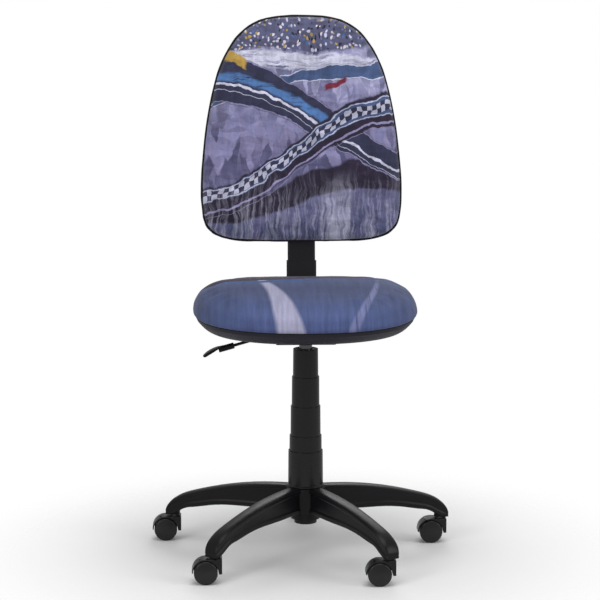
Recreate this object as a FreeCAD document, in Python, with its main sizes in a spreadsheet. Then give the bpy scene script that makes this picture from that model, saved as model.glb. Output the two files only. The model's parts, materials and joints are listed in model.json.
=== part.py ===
import FreeCAD, Part
import math
import os
import Sketcher
from FreeCAD import Placement, Rotation, Vector

# Child's swivel desk chair. Millimetres and degrees, +Z up, the sitter faces -Y.
# The origin is the point of the floor under the swivel axis.

SIZES = {
    # star base
    "caster_circle": 307.0,
    "arm_count": 5,
    "first_arm_angle": 14.1,
    "arm_width": 34.5,
    "arm_end_low": 57.0,
    "arm_root_top": 149.0,
    "arm_rim_depth": 9.0,
    "arm_recess": 2.4,
    "arm_edge": 3.8,
    "hub_radius": 43.0,
    "hub_low": 92.0,
    "hub_crown": 8.0,
    "hub_sleeve_radius": 32.0,
    "hub_sleeve_low": 76.0,
    "socket_boss_radius": 12.0,
    "socket_boss_low": 56.0,
    "socket_boss_height": 18.0,
    "stem_grip": 18.0,
    # casters
    "caster_heading": 180.2,
    "wheel_radius": 25.0,
    "wheel_width": 16.0,
    "wheel_gap": 17.0,
    "wheel_edge": 1.4,
    "wheel_dome": 1.2,
    "disc_radius": 21.6,
    "disc_sink": 0.6,
    "caster_trail": 19.7,
    "hood_gap": 1.5,
    "hood_wall": 2.5,
    "hood_width": 38.0,
    "hood_edge": 2.4,
    "tail_reach": 14.3,
    "tail_drop": 3.0,
    "tail_edge": 1.8,
    "web_width": 16.0,
    "web_radius": 14.0,
    "web_reach": 12.0,
    "stem_radius": 5.5,
    "stem_depth": 20.0,
    "stem_collar_radius": 9.0,
    "collar_gap": 0.2,
    "axle_radius": 3.0,
    "axle_length": 42.0,
    # outer tube of the gas lift
    "tube_radius": 25.0,
    "tube_wall": 1.5,
    "tube_low": 66.0,
    "tube_top": 322.0,
    "tube_floor": 3.0,
    "tube_taper": 0.7,
    "bush_length": 77.0,
    "bush_lip": 3.0,
    # piston rod and what it carries
    "rod_radius": 5.0,
    "rod_low": 62.0,
    "rod_hole": 6.0,
    "piston_low": 250.0,
    "piston_height": 12.0,
    "clip_radius": 8.0,
    "clip_height": 1.3,
    "clip_gap": 0.3,
    "groove_depth": 1.2,
    "washer_radius": 16.0,
    "washer_height": 1.5,
    "ball_radius": 2.2,
    "ball_circle": 11.0,
    "ball_count": 9,
    "cage_height": 2.6,
    "cage_inner": 7.0,
    "cage_outer": 15.5,
    "buffer_radius": 11.0,
    "buffer_height": 20.0,
    "buffer_neck": 2.0,
    # gas cylinder and its button
    "cylinder_radius": 14.0,
    "cylinder_low": 225.0,
    "cylinder_top": 489.0,
    "cylinder_wall": 1.5,
    "cylinder_cap": 8.0,
    "cylinder_head": 24.0,
    "taper_length": 28.0,
    "taper_step": 0.8,
    "button_radius": 3.5,
    "button_length": 16.0,
    "button_rise": 5.2,
    "button_room": 5.0,
    # telescopic cover
    "cover_count": 5,
    "cover_radius": 26.7,
    "cover_step": 2.6,
    "cover_wall": 1.2,
    "cover_taper": 0.6,
    "cover_lip": 1.5,
    "cover_catch": 0.55,
    "cover_gap": 0.75,
    "cover_collar_gap": 0.3,
    "cover_top_1": 448.5,
    "cover_top_2": 388.3,
    "cover_top_3": 324.2,
    "cover_top_4": 259.5,
    "cover_top_5": 226.3,
    "cover_length_1": 72.2,
    "cover_length_2": 76.1,
    "cover_length_3": 76.7,
    "cover_length_4": 71.0,
    "cover_foot_radius": 40.5,
    "cover_foot_height": 3.0,
    # tilting mechanism
    "box_width": 128.0,
    "box_front": 30.0,
    "box_rear": 78.0,
    "box_low": 462.0,
    "box_wall": 2.5,
    "box_edge": 5.0,
    "plate_height": 3.0,
    "plate_width": 190.0,
    "plate_front": 80.0,
    "plate_rear": 95.0,
    "plate_window_width": 68.0,
    "plate_window_front": 24.0,
    "plate_window_rear": 62.0,
    "rear_gate_width": 84.0,
    "rear_gate_sill": 4.0,
    "lever_slot_width": 16.0,
    "lever_slot_low": 470.0,
    "lever_slot_top": 501.0,
    "socket_radius": 19.0,
    "socket_low": 459.0,
    "ear_gap": 12.0,
    "ear_thickness": 3.0,
    "ear_drop": 13.0,
    "ear_width": 12.0,
    # lever
    "lever_pivot_x": 45.0,
    "lever_pivot_z": 498.0,
    "lever_radius": 3.2,
    "lever_tip": 7.0,
    "lever_knee_x": 88.0,
    "lever_knee_z": 475.0,
    "lever_end_x": 183.0,
    "lever_end_z": 448.2,
    "lever_bend": 14.0,
    "lever_eye_radius": 5.5,
    "lever_eye_width": 11.0,
    "lever_pin_radius": 2.5,
    "lever_pin_length": 20.0,
    "grip_radius": 6.5,
    "grip_length": 34.0,
    "paddle_length": 36.0,
    "paddle_width": 21.0,
    "paddle_root": 3.2,
    "paddle_drop": 9.4,
    "paddle_bow": 68.0,
    "paddle_nose": 5.0,
    # seat
    "seat_bottom": 508.0,
    "board_height": 12.0,
    "seat_half_width": 239.2,
    "seat_front": 256.0,
    "seat_rear": 160.0,
    "seat_centre": 40.0,
    "pad_height": 59.0,
    "seat_front_drop": 17.0,
    "seat_dish": 3.0,
    "shell_low": 493.0,
    "shell_rim": 1.0,
    "shell_wall": 3.0,
    "shell_window_width": 202.0,
    "shell_window_front": 86.0,
    "shell_window_rear": 101.0,
    "screw_radius": 2.0,
    "screw_head_radius": 4.5,
    "screw_head_height": 2.5,
    "screw_boss_radius": 8.0,
    "screw_grip": 9.0,
    "bolt_radius": 4.0,
    "bolt_head_radius": 7.0,
    "bolt_head_height": 5.0,
    "bolt_side": 80.0,
    "bolt_front": 62.0,
    "bolt_rear": 72.0,
    "bolt_grip": 9.0,
    "nut_wall": 1.2,
    "nut_flange_radius": 11.0,
    "nut_flange": 1.5,
    # bar carrier
    "tilt_pin_y": 55.0,
    "tilt_pin_z": 472.0,
    "tilt_pin_radius": 4.0,
    "tilt_pin_head": 2.0,
    "tilt_eye_radius": 6.4,
    "carrier_front": 26.0,
    "carrier_rear": 150.0,
    "carrier_wall": 4.0,
    "clamp_y": 120.0,
    "clamp_boss_radius": 9.0,
    "clamp_boss_height": 8.0,
    "stud_radius": 4.0,
    "knob_radius": 17.0,
    "knob_height": 16.0,
    "knob_edge": 2.5,
    "knob_lobes": 6,
    "knob_notch_radius": 6.0,
    "knob_gap": 1.0,
    "spring_wire": 1.1,
    "spring_turns": 6,
    "spring_pitch": 3.2,
    "spring_gap": 1.5,
    # back bar and its sleeves
    "bar_width": 50.0,
    "bar_thickness": 6.0,
    "bar_level": 482.0,
    "bar_front": 44.0,
    "bar_bend": 40.0,
    "back_lean": 6.5,
    "back_y": 252.0,
    "back_low": 642.0,
    "bar_top": 150.0,
    "upper_sleeve_width": 61.0,
    "upper_sleeve_depth": 13.0,
    "lower_sleeve_width": 66.0,
    "lower_sleeve_depth": 18.0,
    "sleeve_wall": 1.5,
    "sleeve_edge": 5.0,
    "upper_sleeve_top": 52.0,
    "upper_sleeve_low": 92.0,
    "lower_sleeve_top": 42.0,
    "lower_sleeve_low": 116.0,
    "sleeve_end_wall": 3.0,
    # backrest
    "back_half_width": 221.6,
    "back_height": 502.0,
    "back_widest": 90.0,
    "back_hub": 235.0,
    "back_curve_radius": 3500.0,
    "bracket_centre": 92.0,
    "bracket_height": 75.0,
    "bracket_wall": 3.4,
    "bracket_flange": 3.0,
    "bracket_flange_width": 92.0,
    "bracket_gap": 0.3,
    "back_board_height": 10.0,
    "back_board_gap": 8.0,
    "back_pad_height": 42.0,
    "back_shell_wall": 2.5,
    "back_shell_depth": 27.0,
    "back_rim_depth": 10.0,
    "back_post_radius": 7.0,
    "back_bolt_radius": 3.0,
    "back_bolt_head_radius": 5.0,
    "back_bolt_head_height": 3.0,
    "back_bolt_side": 38.0,
    "back_bolt_pitch": 54.0,
    "back_bolt_grip": 8.0,
    "knob_shell_gap": 2.0,
    # fits
    "press_gap": 0.03,
    "running_gap": 0.05,
    "slide_gap": 0.1,
    "loose_gap": 0.3,
    "overrun": 5.0,
}

# Shares chosen by hand. Arm sections: distance out, top, underside and width.
ARM_SHARES = (
    (0.095, 1.000, 0.385, 1.00),
    (0.342, 0.958, 0.385, 1.00),
    (0.508, 0.887, 0.380, 0.98),
    (0.674, 0.775, 0.342, 0.96),
    (0.844, 0.622, 0.240, 0.95),
    (0.935, 0.515, 0.140, 0.96),
    (1.000, 0.385, 0.020, 0.97),
    (1.032, 0.270, 0.000, 0.93),
    (1.052, 0.120, 0.000, 0.82),
)
# Outline exponents at the side and at the end, of the seat's front and rear and the back's top
# and bottom.
SEAT_SQUARE_SHARES = ((2.35, 2.35), (3.0, 3.0))
BACK_SQUARE_SHARES = ((2.1, 2.9), (3.0, 4.6))
# Rings of the pads: share of the outline, then share of the pad's height.
SEAT_RING_SHARES = (
    (0.988, 0.0), (0.998, 0.10), (1.0, 0.24), (0.998, 0.40), (0.989, 0.54), (0.972, 0.67),
    (0.945, 0.78), (0.905, 0.865), (0.845, 0.925), (0.740, 0.965), (0.560, 0.988),
    (0.320, 1.0), (0.060, 1.0),
)
BACK_RING_SHARES = (
    (0.987, 0.20), (0.990, 0.36), (0.984, 0.52), (0.966, 0.67), (0.936, 0.79), (0.890, 0.875),
    (0.820, 0.935), (0.685, 0.975), (0.460, 0.995), (0.220, 1.0), (0.060, 1.0),
)
# Rings of the shells: share of the outline, then share of the shell's depth.
SEAT_SHELL_SHARES = (
    (0.983, 0.0), (0.975, 0.25), (0.952, 0.50), (0.931, 0.70), (0.911, 0.86), (0.892, 0.96),
    (0.874, 1.0),
)
BACK_SHELL_SHARES = (
    (1.0, 0.05), (0.993, 0.22), (0.972, 0.40), (0.935, 0.56), (0.870, 0.71), (0.760, 0.84),
    (0.600, 0.93), (0.400, 0.98), (0.200, 1.0), (0.060, 1.0),
)
SEAT_BOARD_SHARE = 0.930
BACK_BOARD_SHARE = 0.955
# Screws of the seat shell, as shares of the seat's half width and of its front or rear reach.
SHELL_SCREW_SHARES = ((0.60, -0.42), (0.70, 0.25), (0.42, 0.80))
# Posts of the back shell, as shares of the back's half width and of its height.
BACK_POST_SHARES = ((0.60, 0.22), (0.62, 0.62), (0.30, 0.86))
OUTLINE_POINTS = 32
HALF_TURN = 180.0
FULL_TURN = 360.0


class Length(float):
    """A size that remembers the sheet expression it comes from."""

    def __new__(cls, value, text):
        made = super().__new__(cls, value)
        made.text = text
        return made

    def __add__(self, other):
        return Length(float(self) + float(other), "(%s + %s)" % (text_of(self), text_of(other)))

    def __radd__(self, other):
        return Length(float(other) + float(self), "(%s + %s)" % (text_of(other), text_of(self)))

    def __sub__(self, other):
        return Length(float(self) - float(other), "(%s - %s)" % (text_of(self), text_of(other)))

    def __rsub__(self, other):
        return Length(float(other) - float(self), "(%s - %s)" % (text_of(other), text_of(self)))

    def __mul__(self, other):
        return Length(float(self) * float(other), "(%s * %s)" % (text_of(self), text_of(other)))

    def __rmul__(self, other):
        return Length(float(other) * float(self), "(%s * %s)" % (text_of(other), text_of(self)))

    def __truediv__(self, other):
        return Length(float(self) / float(other), "(%s / %s)" % (text_of(self), text_of(other)))

    def __neg__(self):
        return Length(-float(self), "(0 - %s)" % text_of(self))


def text_of(value):
    """The expression of a size, or the digits of a plain number."""
    return value.text if isinstance(value, Length) else "%.12g" % value


class Sheet:
    """Gives each size of the spreadsheet as a Length."""

    def __getattr__(self, name):
        return Length(SIZES[name], "sizes." + name)


def fill_sheet():
    """Writes every size into the spreadsheet, its name beside it as the alias."""
    sheet = doc.addObject("Spreadsheet::Sheet", "sizes")
    for row, (name, value) in enumerate(SIZES.items(), start=1):
        sheet.set("A%d" % row, name)
        sheet.set("B%d" % row, "%.12g" % value)
        sheet.setAlias("B%d" % row, name)
    doc.recompute()


doc = FreeCAD.newDocument("desk_chair")
s = Sheet()
fill_sheet()
made_nodes = []


def cos(angle):
    return math.cos(math.radians(angle))


def sin(angle):
    return math.sin(math.radians(angle))


def bind(thing, path, value):
    """Ties a property to the sheet."""
    thing.setExpression(path, text_of(value))


def place(thing, x=0, y=0, z=0, turn=None):
    """Puts a sub-part in its place, with its base bound to the sheet."""
    thing.Placement = Placement(Vector(x, y, z), turn or Rotation())
    for axis, value in zip("xyz", (x, y, z)):
        if isinstance(value, Length):
            bind(thing, "Placement.Base." + axis, value)
    return thing


def keep(thing, name):
    """Marks an object as a sub-part that gets a file of its own."""
    thing.Label = name
    made_nodes.append(thing)
    return thing


def new_body(name):
    body = doc.addObject("PartDesign::Body", name)
    body.AllowCompound = True
    return body


def origin_feature(body, role):
    """The body's own plane or axis with this role."""
    for feature in body.Origin.OriginFeatures:
        if feature.Role == role:
            return feature
    raise ValueError(role)


def arc_centre(start, end, radius):
    """Centre of the smaller arc; a positive radius turns left, a negative one right."""
    middle = Vector((start[0] + end[0]) / 2, (start[1] + end[1]) / 2, 0)
    run = Vector(end[0] - start[0], end[1] - start[1], 0)
    rise = math.sqrt(max(radius * radius - run.Length ** 2 / 4, 0))
    normal = Vector(-run.y, run.x, 0).normalize() * rise
    return middle + normal if radius > 0 else middle - normal


def add_loop(sketch, corners):
    """Draws one closed outline. A corner is (x, y), or (x, y, radius) where an arc leads to it."""
    spans = []
    for index, corner in enumerate(corners):
        start = corners[index - 1]
        if len(corner) == 2:
            line = Part.LineSegment(Vector(start[0], start[1], 0), Vector(corner[0], corner[1], 0))
            spans.append((sketch.addGeometry(line, False), 1, 2))
            continue
        centre = arc_centre(start, corner, corner[2])
        ends = (start, corner) if corner[2] > 0 else (corner, start)
        angles = [math.atan2(end[1] - centre.y, end[0] - centre.x) for end in ends]
        circle = Part.Circle(centre, Vector(0, 0, 1), abs(corner[2]))
        arc = Part.ArcOfCircle(circle, angles[0], angles[1])
        spans.append((sketch.addGeometry(arc, False),) + ((1, 2) if corner[2] > 0 else (2, 1)))
    for index, (span, first, last) in enumerate(spans):
        after, after_first = spans[(index + 1) % len(spans)][:2]
        sketch.addConstraint(Sketcher.Constraint("Coincident", span, last, after, after_first))
        corner = corners[index]
        fix_point(sketch, span, last, corner[0], corner[1])
        if len(corner) == 3:
            radius = corner[2] if corner[2] > 0 else -corner[2]
            number = sketch.addConstraint(Sketcher.Constraint("Radius", span, float(radius)))
            bind(sketch, "Constraints[%d]" % number, radius)


def fix_point(sketch, span, end, x, y):
    """Holds a point at x and y from the sketch's origin."""
    for kind, value, line in (("DistanceX", x, -2), ("DistanceY", y, -1)):
        if value == 0:
            sketch.addConstraint(Sketcher.Constraint("PointOnObject", span, end, line))
            continue
        number = sketch.addConstraint(Sketcher.Constraint(kind, -1, 1, span, end, float(value)))
        bind(sketch, "Constraints[%d]" % number, value)


def draw(body, plane, loops=(), circles=(), lift=0):
    """A sketch on one of the body's own planes, lifted along the plane's normal."""
    sketch = body.newObject("Sketcher::SketchObject", body.Name + "_sketch")
    sketch.AttachmentSupport = [(origin_feature(body, plane + "_Plane"), "")]
    sketch.MapMode = "FlatFace"
    if lift != 0:
        sketch.AttachmentOffset = Placement(Vector(0, 0, lift), Rotation())
        bind(sketch, ".AttachmentOffset.Base.z", lift)
    for corners in loops:
        add_loop(sketch, corners)
    for x, y, radius in circles:
        circle = Part.Circle(Vector(x, y, 0), Vector(0, 0, 1), float(radius))
        span = sketch.addGeometry(circle, False)
        fix_point(sketch, span, 3, x, y)
        number = sketch.addConstraint(Sketcher.Constraint("Radius", span, float(radius)))
        bind(sketch, "Constraints[%d]" % number, radius)
    return sketch


def box_loop(low_x, low_y, high_x, high_y):
    return ((low_x, low_y), (high_x, low_y), (high_x, high_y), (low_x, high_y))


def extrude(body, kind, sketch, length, both=False, flip=False):
    """A pad or a pocket; both means half of the length on each side of the plane."""
    feature = body.newObject("PartDesign::" + kind, body.Name + "_" + kind.lower())
    feature.Profile = sketch
    feature.SideType = "Symmetric" if both else "One side"
    feature.Reversed = flip
    feature.Length = float(length)
    bind(feature, "Length", length)
    return feature


def pad(body, sketch, length, both=False, flip=False):
    return extrude(body, "Pad", sketch, length, both, flip)


def settle(body):
    """Works the body out and stops on a feature that failed."""
    doc.recompute()
    failed = [feature.Name for feature in body.Group if "Invalid" in feature.State]
    if failed:
        raise ValueError("failed: " + ", ".join(failed))
    return body.Shape.Volume


def pocket(body, sketch, length, both=False, flip=False):
    """A pocket that must take material away."""
    before = settle(body)
    feature = extrude(body, "Pocket", sketch, length, both, flip)
    if settle(body) >= before:
        raise ValueError("a pocket of " + body.Name + " cuts nothing")
    return feature


def revolve(body, sketch):
    feature = body.newObject("PartDesign::Revolution", body.Name + "_turned")
    feature.Profile = sketch
    feature.ReferenceAxis = (sketch, ["V_Axis"])
    feature.Angle = FULL_TURN
    return feature


def polar(body, features, count, role="Z_Axis"):
    """Repeats features round an axis of the body."""
    pattern = body.newObject("PartDesign::PolarPattern", body.Name + "_round")
    pattern.Originals = features
    pattern.Axis = (origin_feature(body, role), [""])
    pattern.Occurrences = int(count)
    pattern.Angle = FULL_TURN
    body.Tip = pattern
    return pattern


def mirrored(body, features, plane):
    """Repeats features on the other side of a plane of the body."""
    pattern = body.newObject("PartDesign::Mirrored", body.Name + "_mirrored")
    pattern.Originals = features
    pattern.MirrorPlane = (origin_feature(body, plane + "_Plane"), [""])
    body.Tip = pattern
    return pattern


def fillet(body, radius, wanted):
    """Rounds the edges of the body for which wanted(edge) holds."""
    settle(body)
    names = ["Edge%d" % (number + 1) for number, edge in enumerate(body.Shape.Edges) if wanted(edge)]
    if not names:
        raise ValueError("no edge to round on " + body.Name)
    base = body.Tip
    feature = body.newObject("PartDesign::Fillet", body.Name + "_fillet")
    feature.Base = (base, names)
    feature.Radius = float(radius)
    bind(feature, "Radius", radius)
    body.Tip = feature
    return feature


def turned(name, corners):
    """A sub-part turned round the upright axis from its half section."""
    body = new_body(name)
    revolve(body, draw(body, "XZ", [corners]))
    return keep(body, name)


def tube_loop(inner, outer, low, top):
    return ((inner, low), (outer, low), (outer, top), (inner, top))


def solid_of(shape):
    """The one solid that a construction left."""
    return shape.Solids[0] if len(shape.Solids) == 1 else shape


def feature_of(name, shape, placement=None):
    """A sub-part whose shape is worked out from the sizes in code."""
    thing = doc.addObject("Part::Feature", name)
    thing.Shape = shape
    if placement is not None:
        thing.Placement = placement
    return keep(thing, name)


# The star base: a turned hub with a tapered bore, five arms lofted through sections that fall
# to the caster sockets, a boss under each arm's end and the bore for the caster's stem.
def arm_section(body, shares):
    out_share, top_share, low_share, width_share = shares
    rise = s.arm_root_top - s.arm_end_low
    top = s.arm_end_low + rise * top_share
    low = s.arm_end_low + rise * low_share
    half = s.arm_width / 2 * width_share
    # the rim and the recessed side panels shrink where the nose gets low
    deep = min(1.0, float(top - low) / float(s.arm_rim_depth * 4))
    rim = s.arm_rim_depth * deep
    edge = s.arm_edge * deep
    inner = half - s.arm_recess * deep
    right = (
        (half - edge * 2.6, top), (half - edge, top - edge * 0.35), (half, top - edge),
        (half, top - rim), (inner, top - rim - edge), (inner, low + rim + edge),
        (half, low + rim), (half, low + edge / 2), (half - edge / 2, low),
    )
    left = tuple((-y, z) for y, z in reversed(right))
    return draw(body, "YZ", [left + right], lift=s.caster_circle * out_share)


def make_star_base():
    body = new_body("star_base")
    bore_top = s.tube_radius + s.press_gap
    bore_low = bore_top - s.tube_taper
    revolve(body, draw(body, "XZ", [(
        (bore_low, s.hub_sleeve_low), (s.hub_sleeve_radius, s.hub_sleeve_low),
        (s.hub_sleeve_radius, s.hub_low), (s.hub_radius, s.hub_low),
        (s.hub_radius, s.arm_root_top - s.hub_crown),
        (s.hub_radius - s.hub_crown, s.arm_root_top, s.hub_crown),
        (bore_top, s.arm_root_top),
    )]))
    sections = [arm_section(body, shares) for shares in ARM_SHARES]
    arm = body.newObject("PartDesign::AdditiveLoft", "star_base_arm")
    arm.Profile = sections[0]
    arm.Sections = sections[1:]
    arm.Ruled = False
    boss = pad(body, draw(body, "XY", circles=[(s.caster_circle, 0, s.socket_boss_radius)],
                          lift=s.socket_boss_low), s.socket_boss_height)
    polar(body, [arm, boss], s.arm_count)
    socket = pocket(body, draw(body, "XY", circles=[(s.caster_circle, 0, s.stem_radius + s.press_gap)],
                               lift=s.socket_boss_low), s.stem_grip, flip=True)
    polar(body, [socket], s.arm_count)
    body.Placement = Placement(Vector(), Rotation(Vector(0, 0, 1), s.first_arm_angle))
    return keep(body, "star_base")


# One steel stem for each caster: a pin in the arm's socket, a collar under it, and the pin
# on which the caster's housing swivels.
def make_caster_stems():
    body = new_body("caster_stems")
    axle_level = s.wheel_radius
    hood_top = axle_level + s.wheel_radius + s.hood_gap + s.hood_wall
    stem_low = hood_top - s.stem_depth
    stem = pad(body, draw(body, "XY", circles=[(s.caster_circle, 0, s.stem_radius)], lift=stem_low),
               s.socket_boss_low + s.stem_grip - s.loose_gap - stem_low)
    collar_low = hood_top + s.collar_gap
    collar = pad(body, draw(body, "XY", circles=[(s.caster_circle, 0, s.stem_collar_radius)],
                            lift=collar_low), s.socket_boss_low - s.running_gap - collar_low)
    polar(body, [stem, collar], s.arm_count)
    body.Placement = Placement(Vector(), Rotation(Vector(0, 0, 1), s.first_arm_angle))
    return keep(body, "caster_stems")


# A caster: a hooded housing with a middle web, an axle through the web, and two wheels with
# blind bores that turn on the axle's ends.
def caster_place(index, out, side, level, tilt):
    """Base and turn of a piece of caster number index: out along its trail, side across it."""
    arm = s.first_arm_angle + FULL_TURN / SIZES["arm_count"] * index
    heading = float(s.caster_heading)
    x = s.caster_circle * cos(arm) + out * cos(heading) - side * sin(heading)
    y = s.caster_circle * sin(arm) + out * sin(heading) + side * cos(heading)
    turn = Rotation(Vector(0, 0, 1), heading).multiply(tilt)
    return x, y, level, turn


def make_caster_housing(index):
    body = new_body("caster_housing_%d" % (index + 1))
    axle_x, axle_z = s.caster_trail, s.wheel_radius
    inner = s.wheel_radius + s.hood_gap
    outer = inner + s.hood_wall
    top = axle_z + outer
    back, low = -s.tail_reach, axle_z - s.tail_drop
    hood = draw(body, "XZ", [(
        (axle_x + outer, axle_z), (axle_x, top, outer),
        (back + s.tail_edge, top), (back, top - s.tail_edge, s.tail_edge),
        (back, low + s.tail_edge), (back + s.tail_edge, low, s.tail_edge),
        (axle_x - inner - s.tail_edge, low), (axle_x - inner, axle_z),
        (axle_x, axle_z + inner, -inner), (axle_x + inner, axle_z, -inner),
    )])
    pad(body, hood, s.hood_width, both=True)

    def on_outer_rim(edge):
        spread = [abs(vertex.Y) for vertex in edge.Vertexes]
        middle = edge.valueAt((edge.FirstParameter + edge.LastParameter) / 2)
        reach = math.hypot(middle.x - axle_x, middle.z - axle_z)
        flat_side = min(spread) > s.hood_width / 2 - s.running_gap
        return flat_side and reach > inner + s.hood_wall / 2 and middle.z > axle_z
    fillet(body, s.hood_edge, on_outer_rim)
    pad(body, draw(body, "XZ", circles=[(axle_x, axle_z, s.web_radius)]), s.web_width, both=True)
    web_low = top - s.stem_depth - s.hood_wall
    web = box_loop(-s.web_reach, web_low, axle_x + s.web_radius, top - s.hood_wall / 2)
    pad(body, draw(body, "XZ", [web]), s.web_width, both=True)
    pocket(body, draw(body, "XY", circles=[(0, 0, s.stem_radius + s.running_gap)], lift=top),
           s.stem_depth + s.loose_gap)
    pocket(body, draw(body, "XZ", circles=[(axle_x, axle_z, s.axle_radius + s.press_gap)]),
           s.web_width + s.overrun, both=True)
    x, y, z, turn = caster_place(index, 0, 0, 0, Rotation())
    place(body, x, y, z, turn)
    return keep(body, body.Name)


def make_caster_axle(index):
    axle = doc.addObject("Part::Cylinder", "caster_axle_%d" % (index + 1))
    bind(axle, "Radius", s.axle_radius)
    bind(axle, "Height", s.axle_length)
    x, y, z, turn = caster_place(index, s.caster_trail, -s.axle_length / 2, s.wheel_radius,
                                 Rotation(Vector(1, 0, 0), -HALF_TURN / 2))
    place(axle, x, y, z, turn)
    return keep(axle, axle.Name)


def make_caster_wheel(index, side, word):
    body = new_body("caster_wheel_%s_%d" % (word, index + 1))
    radius, width = s.wheel_radius, s.wheel_width
    bore = s.axle_radius + s.running_gap
    depth = s.axle_length / 2 - s.wheel_gap / 2 + s.loose_gap
    edge = s.wheel_edge
    face = width - s.disc_sink
    dome = (s.disc_radius * s.disc_radius + s.wheel_dome * s.wheel_dome) / (s.wheel_dome * 2)
    revolve(body, draw(body, "XZ", [(
        (bore, 0), (radius - edge, 0), (radius, edge, edge), (radius, width - edge),
        (radius - edge, width, edge), (s.disc_radius + s.disc_sink, width),
        (s.disc_radius, face), (0, face + s.wheel_dome, dome),
        (0, depth), (bore, depth),
    )]))
    x, y, z, turn = caster_place(index, s.caster_trail, side * s.wheel_gap / 2, radius,
                                 Rotation(Vector(1, 0, 0), -side * HALF_TURN / 2))
    place(body, x, y, z, turn)
    return keep(body, body.Name)


# The gas lift: an outer tube pressed into the hub, a long plastic guide bush in its top, and
# the piston rod held at its floor between a clip and a ball thrust bearing.
def make_gas_lift():
    radius, inner = s.tube_radius, s.tube_radius - s.tube_wall
    hub_top, low = s.arm_root_top, s.tube_low
    slope = s.tube_taper / (s.arm_root_top - s.hub_sleeve_low)
    foot = radius - slope * (hub_top - low)
    turned("column_tube", (
        (s.rod_hole, low), (foot, low), (radius, hub_top), (radius, s.tube_top),
        (inner, s.tube_top), (inner, hub_top), (foot - s.tube_wall, low + s.tube_floor),
        (s.rod_hole, low + s.tube_floor),
    ))
    bush_outer = inner - s.press_gap
    turned("guide_bush", (
        (s.cylinder_radius + s.running_gap, s.tube_top - s.bush_length),
        (bush_outer, s.tube_top - s.bush_length), (bush_outer, s.tube_top),
        (radius, s.tube_top), (radius, s.tube_top + s.bush_lip),
        (s.cylinder_radius + s.running_gap, s.tube_top + s.bush_lip),
    ))
    floor = low + s.tube_floor
    track = floor + s.washer_height
    turned("bearing_washer", tube_loop(s.rod_hole, s.washer_radius, floor, track))
    make_thrust_bearing(track + s.running_gap)
    race_top = track + s.running_gap + s.ball_radius * 2 + s.washer_height
    rod = s.rod_radius + s.running_gap
    turned("rod_buffer", (
        (rod, race_top + s.running_gap), (s.buffer_radius, race_top + s.running_gap),
        (s.buffer_radius, race_top + s.buffer_height / 3),
        (s.buffer_radius - s.buffer_neck, race_top + s.buffer_height / 2),
        (s.buffer_radius, race_top + s.buffer_height * 2 / 3),
        (s.buffer_radius - s.buffer_neck, race_top + s.buffer_height),
        (rod, race_top + s.buffer_height),
    ))
    clip_top = low - s.clip_gap
    clip_low = clip_top - s.clip_height
    neck = s.rod_radius - s.groove_depth
    turned("rod_clip", tube_loop(neck + s.running_gap, s.clip_radius, clip_low, clip_top))
    head = s.cylinder_radius - s.cylinder_wall - s.running_gap
    turned("piston_rod", (
        (0, s.rod_low), (s.rod_radius, s.rod_low), (s.rod_radius, clip_low - s.running_gap),
        (neck, clip_low - s.running_gap), (neck, clip_top + s.running_gap),
        (s.rod_radius, clip_top + s.running_gap), (s.rod_radius, s.piston_low),
        (head, s.piston_low), (head, s.piston_low + s.piston_height),
        (0, s.piston_low + s.piston_height),
    ))


def make_thrust_bearing(low):
    """A ball cage with its balls, under an upper washer that turns with the rod."""
    middle = low + s.ball_radius
    cage = doc.addObject("Part::Cylinder", "bearing_cage_disc")
    bind(cage, "Radius", s.cage_outer)
    bind(cage, "Height", s.cage_height)
    place(cage, 0, 0, middle - s.cage_height / 2)
    hole = doc.addObject("Part::Cylinder", "bearing_cage_hole")
    bind(hole, "Radius", s.cage_inner)
    bind(hole, "Height", s.cage_height + s.overrun * 2)
    place(hole, 0, 0, middle - s.cage_height / 2 - s.overrun)
    ring = doc.addObject("Part::Cut", "bearing_cage")
    ring.Base = cage
    ring.Tool = hole
    race = doc.addObject("Part::Cylinder", "bearing_race_disc")
    bind(race, "Radius", s.washer_radius)
    bind(race, "Height", s.washer_height)
    place(race, 0, 0, middle + s.ball_radius)
    race_hole = doc.addObject("Part::Cylinder", "bearing_race_hole")
    bind(race_hole, "Radius", s.rod_radius + s.running_gap)
    bind(race_hole, "Height", s.washer_height + s.overrun * 2)
    place(race_hole, 0, 0, middle + s.ball_radius - s.overrun)
    upper = doc.addObject("Part::Cut", "bearing_race")
    upper.Base = race
    upper.Tool = race_hole
    pieces = [ring, upper]
    for index in range(SIZES["ball_count"]):
        angle = FULL_TURN / SIZES["ball_count"] * index
        ball = doc.addObject("Part::Sphere", "bearing_ball_%d" % index)
        bind(ball, "Radius", s.ball_radius + s.press_gap)
        place(ball, s.ball_circle * cos(angle), s.ball_circle * sin(angle), middle + s.press_gap)
        pieces.append(ball)
    bearing = doc.addObject("Part::MultiFuse", "thrust_bearing")
    bearing.Shapes = pieces
    keep(bearing, "thrust_bearing")


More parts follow.
